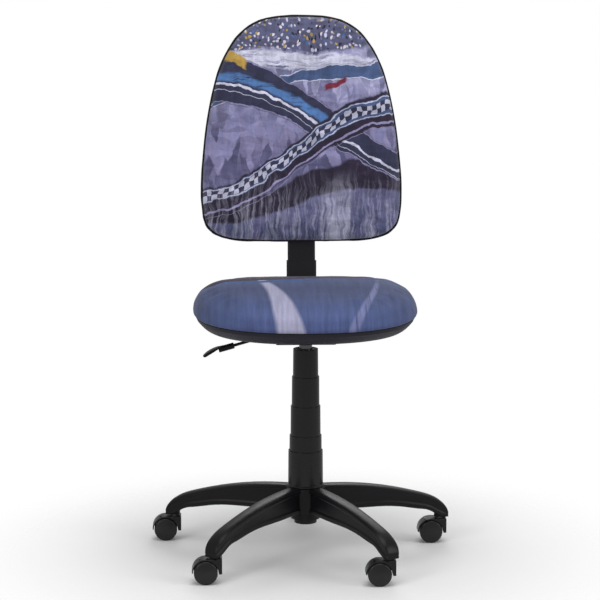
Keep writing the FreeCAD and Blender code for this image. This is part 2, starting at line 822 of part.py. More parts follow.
# The gas cylinder: a tube closed by a seal below and by the valve head above, with a slow
# taper that wedges into the mechanism. The release button stands out of its top.
def make_gas_cylinder():
    radius, top = s.cylinder_radius, s.cylinder_top
    inner = radius - s.cylinder_wall
    tip = radius - s.taper_step
    bore = s.button_radius + s.slide_gap
    button_floor = top + s.button_rise - s.button_length - s.button_room
    seal = s.rod_radius + s.running_gap
    turned("gas_cylinder", (
        (seal, s.cylinder_low), (radius, s.cylinder_low), (radius, top - s.taper_length),
        (tip, top), (bore, top), (bore, button_floor), (0, button_floor),
        (0, top - s.cylinder_head), (inner, top - s.cylinder_head),
        (inner, s.cylinder_low + s.cylinder_cap), (seal, s.cylinder_low + s.cylinder_cap),
    ))
    edge = s.button_radius / 4
    turned("release_button", (
        (0, top + s.button_rise - s.button_length),
        (s.button_radius, top + s.button_rise - s.button_length),
        (s.button_radius, top + s.button_rise - edge),
        (s.button_radius - edge, top + s.button_rise), (0, top + s.button_rise),
    ))
    foot = radius + s.press_gap
    turned("taper_socket", (
        (foot, s.socket_low), (s.socket_radius, s.socket_low), (s.socket_radius, top),
        (foot - s.taper_step, top), (foot, top - s.taper_length),
    ))


# The telescopic cover: five sleeves, each with a catch outside its lower end and a lip inside
# its upper end, so that each hangs in the next. The lowest stands on the hub with a foot.
def cover_radius(number):
    return s.cover_radius + s.cover_step * (number - 1)


def make_cover_section(number):
    radius = cover_radius(number)
    top = Length(SIZES["cover_top_%d" % number], "sizes.cover_top_%d" % number)
    if number == 1:
        mouth = s.cylinder_radius + s.cover_collar_gap
    else:
        mouth = cover_radius(number - 1) + s.cover_gap
    lip, wall = s.cover_lip, s.cover_wall
    if number == SIZES["cover_count"]:
        low = s.arm_root_top + s.running_gap
        foot = s.cover_foot_radius
        turned("cover_section_5", (
            (mouth, top - lip), (radius - wall, top - lip),
            (radius + s.cover_taper - wall, low), (foot, low), (foot, low + s.cover_foot_height / 2),
            (foot - s.cover_foot_height / 2, low + s.cover_foot_height),
            (radius + s.cover_taper, low + s.cover_foot_height), (radius, top), (mouth, top),
        ))
        return
    length = Length(SIZES["cover_length_%d" % number], "sizes.cover_length_%d" % number)
    low = top - length
    foot = radius + s.cover_taper
    turned("cover_section_%d" % number, (
        (mouth, top - lip), (radius - wall, top - lip), (foot - wall, low),
        (foot + s.cover_catch, low), (foot + s.cover_catch, low + lip), (foot, low + lip * 1.5),
        (radius, top), (mouth, top),
    ))


# The mechanism: a folded steel box hung from a plate under the seat board. The taper socket
# is welded into its floor; the rear wall is open for the bar carrier.
def make_mechanism_housing():
    body = new_body("mechanism_housing")
    half, wall = s.box_width / 2, s.box_wall
    front, rear = -s.box_front, s.box_rear
    plate_low = s.seat_bottom - s.plate_height
    outer = box_loop(-half, front, half, rear)
    pad(body, draw(body, "XY", [outer], lift=s.box_low), plate_low - s.box_low)
    fillet(body, s.box_edge, lambda edge: abs(edge.Length - (plate_low - s.box_low)) < s.press_gap)
    inner = box_loop(wall - half, front + wall, half - wall, rear - wall)
    pocket(body, draw(body, "XY", [inner], lift=plate_low), plate_low - s.box_low - wall)
    plate = box_loop(-s.plate_width / 2, -s.plate_front, s.plate_width / 2, s.plate_rear)
    window = box_loop(-s.plate_window_width / 2, -s.plate_window_front,
                      s.plate_window_width / 2, s.plate_window_rear)
    pad(body, draw(body, "XY", [plate, window], lift=plate_low), s.plate_height)
    bolts = [(side * s.bolt_side, y, s.bolt_radius + s.slide_gap)
             for side in (-1, 1) for y in (-s.bolt_front, s.bolt_rear)]
    pocket(body, draw(body, "XY", circles=bolts, lift=s.seat_bottom), s.plate_height + s.overrun)
    pocket(body, draw(body, "XY", circles=[(0, 0, s.socket_radius + s.press_gap)],
                      lift=s.box_low + wall), wall + s.overrun)
    gate = box_loop(-s.rear_gate_width / 2, s.box_low + s.rear_gate_sill,
                    s.rear_gate_width / 2, plate_low)
    pocket(body, draw(body, "XZ", [gate], lift=wall * 2 - rear), wall * 3)
    slot = box_loop(-s.lever_slot_width / 2, s.lever_slot_low,
                    s.lever_slot_width / 2, s.lever_slot_top)
    pocket(body, draw(body, "YZ", [slot], lift=wall * 2 - half), wall * 3)
    pocket(body, draw(body, "YZ", circles=[(s.tilt_pin_y, s.tilt_pin_z,
                                            s.tilt_pin_radius + s.press_gap)]),
           s.box_width + s.overrun, both=True)
    make_lever_ears(body, plate_low)
    return keep(body, "mechanism_housing")


def make_lever_ears(body, plate_low):
    """Two ears under the plate that hold the lever's pin."""
    x, half = -s.lever_pivot_x, s.ear_width / 2
    inner = s.ear_gap / 2
    ears = [box_loop(x - half, inner, x + half, inner + s.ear_thickness),
            box_loop(x - half, -inner - s.ear_thickness, x + half, -inner)]
    pad(body, draw(body, "XY", ears, lift=plate_low), s.ear_drop, flip=True)
    hole = (x, s.lever_pivot_z, s.lever_pin_radius + s.press_gap)
    pocket(body, draw(body, "XZ", circles=[hole]), s.ear_gap + s.ear_thickness * 3, both=True)


def cylinder_along_y(name, radius, length, x, z):
    pin = doc.addObject("Part::Cylinder", name)
    bind(pin, "Radius", radius)
    bind(pin, "Height", length)
    place(pin, x, -length / 2, z, Rotation(Vector(1, 0, 0), -HALF_TURN / 2))
    return keep(pin, name)


# The release lever: a bent steel rod that rocks on its pin. Its inner end stands over the
# button, and its outer end carries a plastic paddle.
def make_lever():
    body = new_body("lever_rod")
    eye = (-s.lever_pivot_x, s.lever_pivot_z)
    knee = (-s.lever_knee_x, s.lever_knee_z)
    end = (-s.lever_end_x, s.lever_end_z)
    pad(body, draw(body, "XZ", circles=[eye + (s.lever_eye_radius,)]), s.lever_eye_width, both=True)
    path = body.newObject("Sketcher::SketchObject", "lever_rod_path")
    path.AttachmentSupport = [(origin_feature(body, "XZ_Plane"), "")]
    path.MapMode = "FlatFace"
    stops = [(s.lever_tip, s.lever_pivot_z), eye, knee, end]
    add_path(path, stops, s.lever_bend)
    round_bar = draw(body, "YZ", circles=[(0, s.lever_pivot_z, s.lever_radius)], lift=s.lever_tip)
    rod = body.newObject("PartDesign::AdditivePipe", "lever_rod_bar")
    rod.Profile = round_bar
    rod.Spine = (path, [""])
    doc.recompute()
    hole = eye + (s.lever_pin_radius + s.running_gap,)
    pocket(body, draw(body, "XZ", circles=[hole]), s.lever_eye_width + s.overrun, both=True)
    keep(body, "lever_rod")
    cylinder_along_y("lever_pin", s.lever_pin_radius, s.lever_pin_length,
                     -s.lever_pivot_x, s.lever_pivot_z)


def add_path(sketch, stops, radius):
    """An open run of lines with rounded turns, every corner bound to the sheet."""
    tangents = []
    for before, here, after in zip(stops, stops[1:], stops[2:]):
        go_in = Vector(here[0] - before[0], here[1] - before[1], 0)
        go_out = Vector(after[0] - here[0], after[1] - here[1], 0)
        half_turn = go_in.getAngle(go_out) / 2
        trim = math.tan(half_turn)
        left = go_in.x * go_out.y - go_in.y * go_out.x > 0
        cut = radius * trim
        start = tuple(h - cut * (d / go_in.Length) for h, d in zip(here, (go_in.x, go_in.y)))
        finish = tuple(h + cut * (d / go_out.Length) for h, d in zip(here, (go_out.x, go_out.y)))
        tangents.append((start, finish, radius if left else -radius))
    points = [stops[0]]
    for start, finish, bend in tangents:
        points.append(start)
        points.append(finish + (bend,))
    points.append(stops[-1])
    last = None
    for before, point in zip(points, points[1:]):
        if len(point) == 2:
            line = Part.LineSegment(Vector(before[0], before[1], 0), Vector(point[0], point[1], 0))
            span, first, end = sketch.addGeometry(line, False), 1, 2
        else:
            centre = arc_centre(before, point, point[2])
            ends = (before, point) if point[2] > 0 else (point, before)
            angles = [math.atan2(tip[1] - centre.y, tip[0] - centre.x) for tip in ends]
            circle = Part.Circle(centre, Vector(0, 0, 1), abs(point[2]))
            span = sketch.addGeometry(Part.ArcOfCircle(circle, angles[0], angles[1]), False)
            first, end = (1, 2) if point[2] > 0 else (2, 1)
            bend = sketch.addConstraint(Sketcher.Constraint("Radius", span, float(radius)))
            bind(sketch, "Constraints[%d]" % bend, radius)
        if last is None:
            fix_point(sketch, span, first, before[0], before[1])
        else:
            sketch.addConstraint(Sketcher.Constraint("Coincident", last[0], last[1], span, first))
        fix_point(sketch, span, end, point[0], point[1])
        last = (span, end)


def make_lever_handle():
    """A collar on the rod's end and a leaf-shaped paddle that droops outwards."""
    end, level = -s.lever_end_x, s.lever_end_z
    slope = math.degrees(math.atan2(s.lever_knee_z - s.lever_end_z, s.lever_end_x - s.lever_knee_x))
    body = new_body("lever_handle")
    bore = s.lever_radius + s.press_gap
    pad(body, draw(body, "YZ", circles=[(0, 0, s.grip_radius)], lift=-s.grip_length / 2),
        s.grip_length)
    half = s.paddle_width / 2
    start = -s.grip_length / 2
    tip = start - s.paddle_length
    high = s.grip_radius * 0.9
    nose = s.paddle_nose
    blade = draw(body, "XZ", [(
        (start + s.grip_length / 3, high), (start, high), (tip, high - s.paddle_drop, s.paddle_bow),
        (tip + nose, high - s.paddle_drop - nose * 0.6, nose), (start, high - s.paddle_root),
        (start + s.grip_length / 3, high - s.paddle_root),
    )])
    pad(body, blade, s.paddle_width, both=True)
    side = [((tip - s.overrun, half * 0.62), (tip + half, half), (start, half),
             (start + half, half * 0.45), (start + half, half * 2), (tip - s.overrun, half * 2))]
    trim = pocket(body, draw(body, "XY", side, lift=s.grip_radius * 2), s.grip_radius * 8)
    mirrored(body, [trim], "XZ")
    pocket(body, draw(body, "YZ", circles=[(0, 0, bore)], lift=s.grip_length / 2),
           s.grip_length - s.grip_radius / 2)
    # the collar's middle sits on the rod's end, turned along the rod
    inside = s.grip_length / 2 - s.grip_radius / 2
    place(body, end + inside * cos(slope), 0, level + inside * sin(slope),
          Rotation(Vector(0, 1, 0), -slope))
    keep(body, "lever_handle")


def outline_point(share, angle, half_width, ahead, behind, squares):
    """A point of a rounded outline whose two ends have their own reach and squareness."""
    reach, (side, end) = (ahead, squares[0]) if sin(angle) > 0 else (behind, squares[1])
    square = side + (end - side) * abs(sin(angle))
    across = math.copysign(abs(cos(angle)) ** (2 / square), cos(angle))
    along = math.copysign(abs(sin(angle)) ** (2 / square), sin(angle))
    return half_width * share * across, reach * share * along


def ring_of(points):
    """A closed wire of arcs, each through three of the points."""
    count = len(points)
    arcs = [Part.Arc(points[i - 1], points[i], points[i + 1]) for i in range(0, count, 2)]
    return Part.Wire([arc.toShape() for arc in arcs])


def seat_ring(share, level):
    """A ring of the seat's outline; level gives its height at each place."""
    points = []
    for index in range(OUTLINE_POINTS):
        angle = FULL_TURN / OUTLINE_POINTS * index
        x, ahead = outline_point(share, angle, s.seat_half_width, s.seat_front, s.seat_rear,
                                 SEAT_SQUARE_SHARES)
        y = s.seat_centre - ahead
        points.append(Vector(x, y, level(x, y)))
    return ring_of(points)


def flat(level):
    return lambda x, y: level


def prism(wire, x, y, z):
    return Part.Face(wire).extrude(Vector(x, y, z))


def upright_pin(radius, low, top, x, y):
    return Part.makeCylinder(radius, top - low, Vector(x, y, low))


# The seat: a plywood board on the mechanism's plate, a foam pad on it and a plastic pan
# under it, screwed to the board from below.
def screw_places():
    places = []
    for x_share, y_share in SHELL_SCREW_SHARES:
        reach = s.seat_rear if y_share > 0 else s.seat_front
        for side in (-1, 1):
            places.append((side * s.seat_half_width * x_share, s.seat_centre + reach * y_share))
    return places


def bolt_places():
    return [(side * s.bolt_side, y) for side in (-1, 1) for y in (-s.bolt_front, s.bolt_rear)]


def make_seat():
    low, top = s.seat_bottom, s.seat_bottom + s.board_height
    board = prism(seat_ring(SEAT_BOARD_SHARE, flat(low)), 0, 0, s.board_height)
    nut_hole = s.bolt_radius + s.nut_wall + s.slide_gap * 2
    for x, y in bolt_places():
        board = board.cut(upright_pin(nut_hole, low - s.overrun, top + s.overrun, x, y))
        seat = s.nut_flange_radius + s.slide_gap
        board = board.cut(upright_pin(seat, top - s.nut_flange, top + s.overrun, x, y))
    for x, y in screw_places():
        board = board.cut(upright_pin(s.screw_radius + s.press_gap, low - s.overrun,
                                      low + s.screw_grip + s.loose_gap, x, y))
    feature_of("seat_board", solid_of(board))
    make_seat_pad(top)
    make_seat_shell(low)
    make_seat_fasteners(low, top)


def make_seat_pad(low):
    def level_of(share):
        def level(x, y):
            ahead = max(0.0, (s.seat_centre - y) / s.seat_front)
            drop = s.seat_front_drop * ahead ** 3
            dish = s.seat_dish * (1 - (x / s.seat_half_width) ** 2) * (1 - ahead)
            return low + s.pad_height * share - (drop + dish) * share ** 2
        return level
    rings = [seat_ring(outline, level_of(height)) for outline, height in SEAT_RING_SHARES[:-1]]
    last_outline, last_height = SEAT_RING_SHARES[-1]
    rings.append(seat_ring(last_outline, flat(level_of(last_height)(0.0, s.seat_centre))))
    feature_of("seat_pad", Part.makeLoft(rings, True, True))


def make_seat_shell(board_low):
    rim = board_low + s.board_height - s.shell_rim
    depth = rim - s.shell_low
    thin = s.shell_wall / s.seat_half_width
    outer = [seat_ring(share, flat(rim - depth * drop)) for share, drop in SEAT_SHELL_SHARES]
    shell = Part.makeLoft(outer, True, True)
    inner = [seat_ring(share - thin, flat(rim - (depth - s.shell_wall) * drop))
             for share, drop in SEAT_SHELL_SHARES]
    hollow = Part.makeLoft(inner, True, True)
    lid = prism(seat_ring(SEAT_SHELL_SHARES[0][0] - thin, flat(rim)), 0, 0, s.overrun)
    shell = shell.cut(hollow).cut(lid)
    for x, y in screw_places():
        shell = shell.fuse(upright_pin(s.screw_boss_radius, s.shell_low + s.shell_wall / 2,
                                       board_low, x, y))
    window = Part.makeBox(s.shell_window_width, s.shell_window_front + s.shell_window_rear,
                          s.shell_wall + s.overrun * 3,
                          Vector(-s.shell_window_width / 2, -s.shell_window_front,
                                 s.shell_low - s.overrun))
    shell = shell.cut(window)
    for x, y in screw_places():
        shell = shell.cut(upright_pin(s.screw_radius + s.slide_gap, s.shell_low - s.overrun,
                                      board_low + s.overrun, x, y))
        shell = shell.cut(upright_pin(s.screw_head_radius + s.slide_gap, s.shell_low - s.overrun,
                                      s.shell_low + s.screw_head_height, x, y))
    feature_of("seat_shell", solid_of(shell.removeSplitter()))


def make_seat_fasteners(low, top):
    bolts, nuts, screws = [], [], []
    plate_low = low - s.plate_height
    for x, y in bolt_places():
        head = upright_pin(s.bolt_head_radius, plate_low - s.bolt_head_height, plate_low, x, y)
        shank = upright_pin(s.bolt_radius, plate_low - s.bolt_head_height, low + s.bolt_grip, x, y)
        bolts.append(head.fuse(shank).removeSplitter())
        barrel = s.bolt_radius + s.nut_wall
        nut = upright_pin(barrel, low + s.loose_gap, top, x, y)
        nut = nut.fuse(upright_pin(s.nut_flange_radius, top - s.nut_flange, top, x, y))
        bore = upright_pin(s.bolt_radius + s.running_gap, low - s.overrun,
                           low + s.bolt_grip + s.loose_gap, x, y)
        nuts.append(nut.cut(bore).removeSplitter())
    for x, y in screw_places():
        head_top = s.shell_low + s.screw_head_height
        head = upright_pin(s.screw_head_radius, s.shell_low + s.loose_gap, head_top, x, y)
        shank = upright_pin(s.screw_radius, s.shell_low + s.loose_gap, low + s.screw_grip, x, y)
        screws.append(head.fuse(shank).removeSplitter())
    feature_of("seat_bolts", Part.makeCompound(bolts))
    feature_of("tee_nuts", Part.makeCompound(nuts))
    feature_of("shell_screws", Part.makeCompound(screws))


# The bar carrier: a steel channel that tilts on a pin and guides the flat back bar. A knob
# under it clamps the bar, and a wound spring on the pin keeps it upright.
def make_bar_carrier():
    body = new_body("bar_carrier")
    slot_half = s.bar_width / 2 + s.slide_gap
    slot_low = s.bar_level - s.bar_thickness / 2 - s.slide_gap
    slot_top = s.bar_level + s.bar_thickness / 2 + s.slide_gap
    half = slot_half + s.carrier_wall
    outer = box_loop(-half, slot_low - s.carrier_wall, half, slot_top + s.carrier_wall)
    slot = box_loop(-slot_half, slot_low, slot_half, slot_top)
    length = s.carrier_rear - s.carrier_front
    pad(body, draw(body, "XZ", [outer, slot], lift=-s.carrier_front), length, flip=True)
    eye = (s.tilt_pin_y, s.tilt_pin_z)
    pad(body, draw(body, "YZ", circles=[eye + (s.tilt_eye_radius,)]), half * 2, both=True)
    neck = box_loop(s.tilt_pin_y - s.tilt_eye_radius, s.tilt_pin_z,
                    s.tilt_pin_y + s.tilt_eye_radius, slot_low - s.carrier_wall / 2)
    pad(body, draw(body, "YZ", [neck]), half * 2, both=True)
    boss_low = slot_low - s.carrier_wall - s.clamp_boss_height
    pad(body, draw(body, "XY", circles=[(0, s.clamp_y, s.clamp_boss_radius)], lift=boss_low),
        s.clamp_boss_height + s.carrier_wall / 2)
    pocket(body, draw(body, "YZ", circles=[eye + (s.tilt_pin_radius + s.running_gap,)]),
           half * 2 + s.overrun, both=True)
    pocket(body, draw(body, "XY", circles=[(0, s.clamp_y, s.stud_radius + s.running_gap)],
                      lift=slot_low), s.carrier_wall + s.clamp_boss_height + s.overrun)
    keep(body, "bar_carrier")
    make_clamp_knob("depth_knob", s.carrier_wall + s.clamp_boss_height)
    place(made_nodes[-1], 0, s.clamp_y, slot_low, Rotation(Vector(1, 0, 0), HALF_TURN))


def make_clamp_knob(name, neck):
    """A lobed knob on a threaded stud; its own Z runs from the stud's tip to the knob."""
    body = new_body(name)
    low = neck + s.knob_gap
    top = low + s.knob_height
    revolve(body, draw(body, "XZ", [(
        (0, s.loose_gap / 2), (s.stud_radius, s.loose_gap / 2), (s.stud_radius, low),
        (s.knob_radius - s.knob_edge, low), (s.knob_radius, low + s.knob_edge, s.knob_edge),
        (s.knob_radius, top - s.knob_edge), (s.knob_radius - s.knob_edge, top, s.knob_edge),
        (0, top),
    )]))
    notch = draw(body, "XY", circles=[(s.knob_radius + s.knob_notch_radius * 0.6, 0,
                                       s.knob_notch_radius)], lift=top + s.overrun)
    cut = pocket(body, notch, s.knob_height + s.overrun * 2)
    polar(body, [cut], s.knob_lobes)
    return keep(body, name)


def make_tilt_pin():
    pin = new_body("tilt_pin")
    half = s.box_width / 2
    head = s.tilt_pin_radius + s.tilt_pin_head
    revolve(pin, draw(pin, "XZ", [(
        (0, -half - s.tilt_pin_head - s.slide_gap), (head, -half - s.tilt_pin_head - s.slide_gap),
        (head, -half - s.slide_gap), (s.tilt_pin_radius, -half - s.slide_gap),
        (s.tilt_pin_radius, half + s.tilt_pin_head), (0, half + s.tilt_pin_head),
    )]))
    place(pin, 0, s.tilt_pin_y, s.tilt_pin_z, Rotation(Vector(0, 1, 0), HALF_TURN / 2))
    keep(pin, "tilt_pin")


def make_tilt_spring():
    """A wound spring round the pin, between the carrier and the box's wall."""
    wire = s.spring_wire
    radius = s.tilt_pin_radius + s.slide_gap + wire
    start = s.bar_width / 2 + s.slide_gap + s.carrier_wall + s.spring_gap + wire
    helix = Part.makeHelix(s.spring_pitch, s.spring_pitch * SIZES["spring_turns"], radius)
    section = Part.Wire(Part.makeCircle(wire, Vector(radius, 0, 0), Vector(0, 1, 0)))
    coil = Part.Wire(helix.Edges).makePipeShell([section], True, True)
    least = float(s.spring_pitch - wire * 2)
    print("tilt_spring: least gap to itself %.2f" % least)
    turn = Rotation(Vector(0, 1, 0), HALF_TURN / 2)
    feature_of("tilt_spring", coil, Placement(Vector(start, s.tilt_pin_y, s.tilt_pin_z), turn))


# The back bar: one flat steel bar, bent up behind the seat and leaning back a little.
def lean_place():
    """The frame of the backrest: its origin on the bar, its Z along the bar."""
    return Placement(Vector(0, s.back_y, s.back_low), Rotation(Vector(1, 0, 0), -s.back_lean))


def lean(thing):
    """Puts a sub-part in the backrest's frame."""
    return place(thing, 0, s.back_y, s.back_low, Rotation(Vector(1, 0, 0), -float(s.back_lean)))


def make_back_bar():
    body = new_body("back_bar")
    up_y, up_z = sin(s.back_lean), cos(s.back_lean)
    half, bend = s.bar_thickness / 2, s.bar_bend
    centre_z = s.bar_level + bend
    run = (centre_z - s.back_low - bend * up_y) / up_z
    centre_y = s.back_y - bend * up_z + run * up_y
    top_y, top_z = s.back_y + s.bar_top * up_y, s.back_low + s.bar_top * up_z

    def beside(y, z, out):
        return y + out * up_z, z - out * up_y
    outer_bend, inner_bend = bend + half, bend - half
    body_loop = (
        (s.bar_front, s.bar_level - half), (centre_y, s.bar_level - half),
        beside(centre_y, centre_z, outer_bend) + (outer_bend,),
        beside(top_y, top_z, half), beside(top_y, top_z, -half),
        beside(centre_y, centre_z, inner_bend), (centre_y, s.bar_level + half, -inner_bend),
        (s.bar_front, s.bar_level + half),
    )
    pad(body, draw(body, "YZ", [body_loop]), s.bar_width, both=True)
    return keep(body, "back_bar")


def rounded_loop(half_x, half_y, edge):
    """A rectangle with round corners about the origin."""
    return (
        (half_x - edge, -half_y), (half_x, edge - half_y, edge), (half_x, half_y - edge),
        (half_x - edge, half_y, edge), (edge - half_x, half_y), (-half_x, half_y - edge, edge),
        (-half_x, edge - half_y), (edge - half_x, -half_y, edge),
    )


def make_sleeve(name, width, depth, low, top, closed_low):
    """A plastic sleeve round the bar; one end may be closed down to the bar."""
    body = new_body(name)
    wall = s.sleeve_wall
    outer = rounded_loop(width / 2, depth / 2, s.sleeve_edge)
    inner = rounded_loop(width / 2 - wall, depth / 2 - wall, s.sleeve_edge - wall)
    pad(body, draw(body, "XY", [outer, inner], lift=low), top - low)
    end = low if closed_low else top - s.sleeve_end_wall
    slot_x, slot_y = s.bar_width / 2 + s.slide_gap, s.bar_thickness / 2 + s.slide_gap
    slot = box_loop(-slot_x, -slot_y, slot_x, slot_y)
    middle = rounded_loop(width / 2 - wall / 2, depth / 2 - wall / 2, s.sleeve_edge - wall / 2)
    pad(body, draw(body, "XY", [middle, slot], lift=end), s.sleeve_end_wall)
    lean(body)
    return keep(body, name)


# The backrest: a curved board bolted to a bracket that slides on the bar, a foam pad in
# front and a plastic shell behind.
def back_bow(height):
    """How far the board curves back from the bar's line at this height."""
    off = height - s.bracket_centre
    return float(off) ** 2 / (s.back_curve_radius * 2)


def back_ring(share, depth):
    """A ring of the back's outline; depth gives its place in Y at each height."""
    points = []
    for index in range(OUTLINE_POINTS):
        angle = FULL_TURN / OUTLINE_POINTS * index
        x, up = outline_point(1.0, angle, s.back_half_width, s.back_height - s.back_widest,
                              s.back_widest, BACK_SQUARE_SHARES)
        height = s.back_hub + (s.back_widest + up - s.back_hub) * share
        points.append(Vector(x * share, depth(height), height))
    return ring_of(points)


def bow_slab(front, rear):
    """The space between two curved sheets that follow the board, wider than the back."""
    half = s.back_half_width + s.overrun
    low, high = -s.overrun, s.back_height + s.overrun

    def sheet_edge(offset):
        ends = [Vector(-half, offset + back_bow(z), z) for z in (low, high)]
        middle_z = (low + high) / 2
        return ends, Vector(-half, offset + back_bow(middle_z), middle_z)
    front_ends, front_middle = sheet_edge(front)
    rear_ends, rear_middle = sheet_edge(rear)
    wire = Part.Wire([
        Part.Arc(front_ends[0], front_middle, front_ends[1]).toShape(),
        Part.makeLine(front_ends[1], rear_ends[1]),
        Part.Arc(rear_ends[1], rear_middle, rear_ends[0]).toShape(),
        Part.makeLine(rear_ends[0], front_ends[0]),
    ])
    return Part.Face(wire).extrude(Vector(half * 2, 0, 0))


def pin_along_y(radius, front, rear, x, z):
    return Part.makeCylinder(radius, rear - front, Vector(x, front, z), Vector(0, 1, 0))


def back_bolt_places():
    return [(side * s.back_bolt_side, s.bracket_centre + end * s.back_bolt_pitch / 2)
            for side in (-1, 1) for end in (-1, 1)]


def make_back():
    rear = -s.back_board_gap
    front = rear - s.back_board_height
    far = s.back_half_width
    board = prism(back_ring(BACK_BOARD_SHARE, flat_back(-far)), 0, far * 2, 0)
    board = board.common(bow_slab(front, rear))
    for x, z in back_bolt_places():
        board = board.cut(pin_along_y(s.back_bolt_radius + s.press_gap,
                                      rear - s.back_bolt_grip - s.loose_gap, rear + s.overrun, x, z))
    feature_of("back_board", solid_of(board), lean_place())
    make_back_pad(front, far)
    make_back_shell(front, rear, far)
    make_back_bolts(rear)


def flat_back(depth):
    return lambda height: depth


def make_back_pad(board_front, far):
    def depth_of(share):
        return lambda height: board_front + back_bow(height) - s.back_pad_height * share
    rings = [back_ring(BACK_RING_SHARES[0][0], flat_back(s.back_pad_height))]
    for outline, thick in BACK_RING_SHARES[:-1]:
        rings.append(back_ring(outline, depth_of(thick)))
    outline, thick = BACK_RING_SHARES[-1]
    rings.append(back_ring(outline, flat_back(depth_of(thick)(s.back_hub))))
    form = Part.makeLoft(rings, True, True)
    form = form.cut(bow_slab(board_front, far * 2))
    feature_of("back_pad", solid_of(form), lean_place())


def make_back_shell(board_front, board_rear, far):
    rim = board_front + s.back_rim_depth / 2

    def dome(inset, thinner):
        rings = [back_ring(BACK_SHELL_SHARES[0][0] - inset, flat_back(-s.back_pad_height))]
        depth = s.back_shell_depth - thinner
        for outline, share in BACK_SHELL_SHARES[:-1]:
            rings.append(back_ring(outline - inset,
                                   lambda height, share=share: rim + back_bow(height) + depth * share))
        outline, share = BACK_SHELL_SHARES[-1]
        last = rim + back_bow(s.back_hub) + depth * share
        rings.append(back_ring(outline - inset / 2, flat_back(last)))
        return Part.makeLoft(rings, True, True)
    wall = s.back_shell_wall
    outside = dome(0, 0)
    shell = outside.cut(dome(wall / s.back_half_width, wall))
    shell = shell.cut(bow_slab(-far * 2, rim))
    for x_share, z_share in BACK_POST_SHARES:
        for side in (-1, 1):
            post = pin_along_y(s.back_post_radius, board_rear - s.overrun, far,
                               side * s.back_half_width * x_share, s.back_height * z_share)
            shell = shell.fuse(post.common(outside).cut(bow_slab(-far * 2, board_rear)))
    mouth = s.slide_gap * 2
    slot = Part.makeBox(s.upper_sleeve_width + mouth, s.upper_sleeve_depth + mouth,
                        s.upper_sleeve_top + mouth + s.overrun * 2,
                        Vector(-s.upper_sleeve_width / 2 - mouth / 2,
                               -s.upper_sleeve_depth / 2 - mouth / 2, -s.overrun * 2))
    shell = shell.cut(slot)
    hole = s.stud_radius + s.knob_shell_gap
    shell = shell.cut(pin_along_y(hole, 0, far, 0, s.bracket_centre))
    feature_of("back_shell", solid_of(shell.removeSplitter()), lean_place())


def make_back_bolts(board_rear):
    bolts = []
    plate_rear = board_rear + s.bracket_gap + s.bracket_flange
    for x, z in back_bolt_places():
        shank = pin_along_y(s.back_bolt_radius, board_rear - s.back_bolt_grip,
                            plate_rear + s.back_bolt_head_height, x, z)
        head = pin_along_y(s.back_bolt_head_radius, plate_rear,
                           plate_rear + s.back_bolt_head_height, x, z)
        bolts.append(shank.fuse(head).removeSplitter())
    feature_of("back_bolts", Part.makeCompound(bolts), lean_place())


def make_slide_bracket():
    """A flange on the board and a channel behind it, in which the bar slides."""
    body = new_body("slide_bracket")
    slot_x, slot_y = s.bar_width / 2 + s.slide_gap, s.bar_thickness / 2 + s.slide_gap
    front = s.bracket_gap - s.back_board_gap
    low = s.bracket_centre - s.bracket_height / 2
    half = slot_x + s.bracket_wall
    channel = box_loop(-half, front + s.bracket_flange / 2, half, slot_y + s.bracket_wall)
    slot = box_loop(-slot_x, -slot_y, slot_x, slot_y)
    pad(body, draw(body, "XY", [channel, slot], lift=low), s.bracket_height)
    plate = box_loop(-s.bracket_flange_width / 2, front, s.bracket_flange_width / 2,
                     front + s.bracket_flange)
    pad(body, draw(body, "XY", [plate], lift=low), s.bracket_height)
    holes = [(x, z, s.back_bolt_radius + s.slide_gap) for x, z in back_bolt_places()]
    pocket(body, draw(body, "XZ", circles=holes), s.back_board_gap + s.overrun, flip=True)
    stud = [(0, s.bracket_centre, s.stud_radius + s.running_gap)]
    pocket(body, draw(body, "XZ", circles=stud, lift=-slot_y - s.bracket_wall - s.overrun),
           s.bracket_wall + s.overrun, flip=True)
    lean(body)
    keep(body, "slide_bracket")
    shell_rear = s.back_shell_depth + s.back_rim_depth / 2 - s.back_board_gap - s.back_board_height
    make_clamp_knob("height_knob", shell_rear - slot_y + s.knob_shell_gap)
    knob = made_nodes[-1]
    up = Vector(0, sin(s.back_lean), cos(s.back_lean))
    out = Vector(0, cos(s.back_lean), -sin(s.back_lean))
    place(knob, 0, s.back_y + s.bracket_centre * up.y + slot_y * out.y,
          s.back_low + s.bracket_centre * up.z + slot_y * out.z,
          Rotation(Vector(1, 0, 0), -float(s.back_lean) - HALF_TURN / 2))


def build():
    make_star_base()
    make_caster_stems()
    for index in range(SIZES["arm_count"]):
        make_caster_housing(index)
        make_caster_axle(index)
        make_caster_wheel(index, 1, "right")
        make_caster_wheel(index, -1, "left")
    make_gas_lift()
    make_gas_cylinder()
    for number in range(1, SIZES["cover_count"] + 1):
        make_cover_section(number)
    make_mechanism_housing()
    make_lever()
    make_lever_handle()
    make_seat()
    make_bar_carrier()
    make_tilt_pin()
    make_tilt_spring()
    make_back_bar()
    make_sleeve("bar_cover_upper", s.upper_sleeve_width, s.upper_sleeve_depth,
                -s.upper_sleeve_low, s.upper_sleeve_top, False)
    make_sleeve("bar_cover_lower", s.lower_sleeve_width, s.lower_sleeve_depth,
                -s.lower_sleeve_low, -s.lower_sleeve_top, True)
    make_back()
    make_slide_bracket()


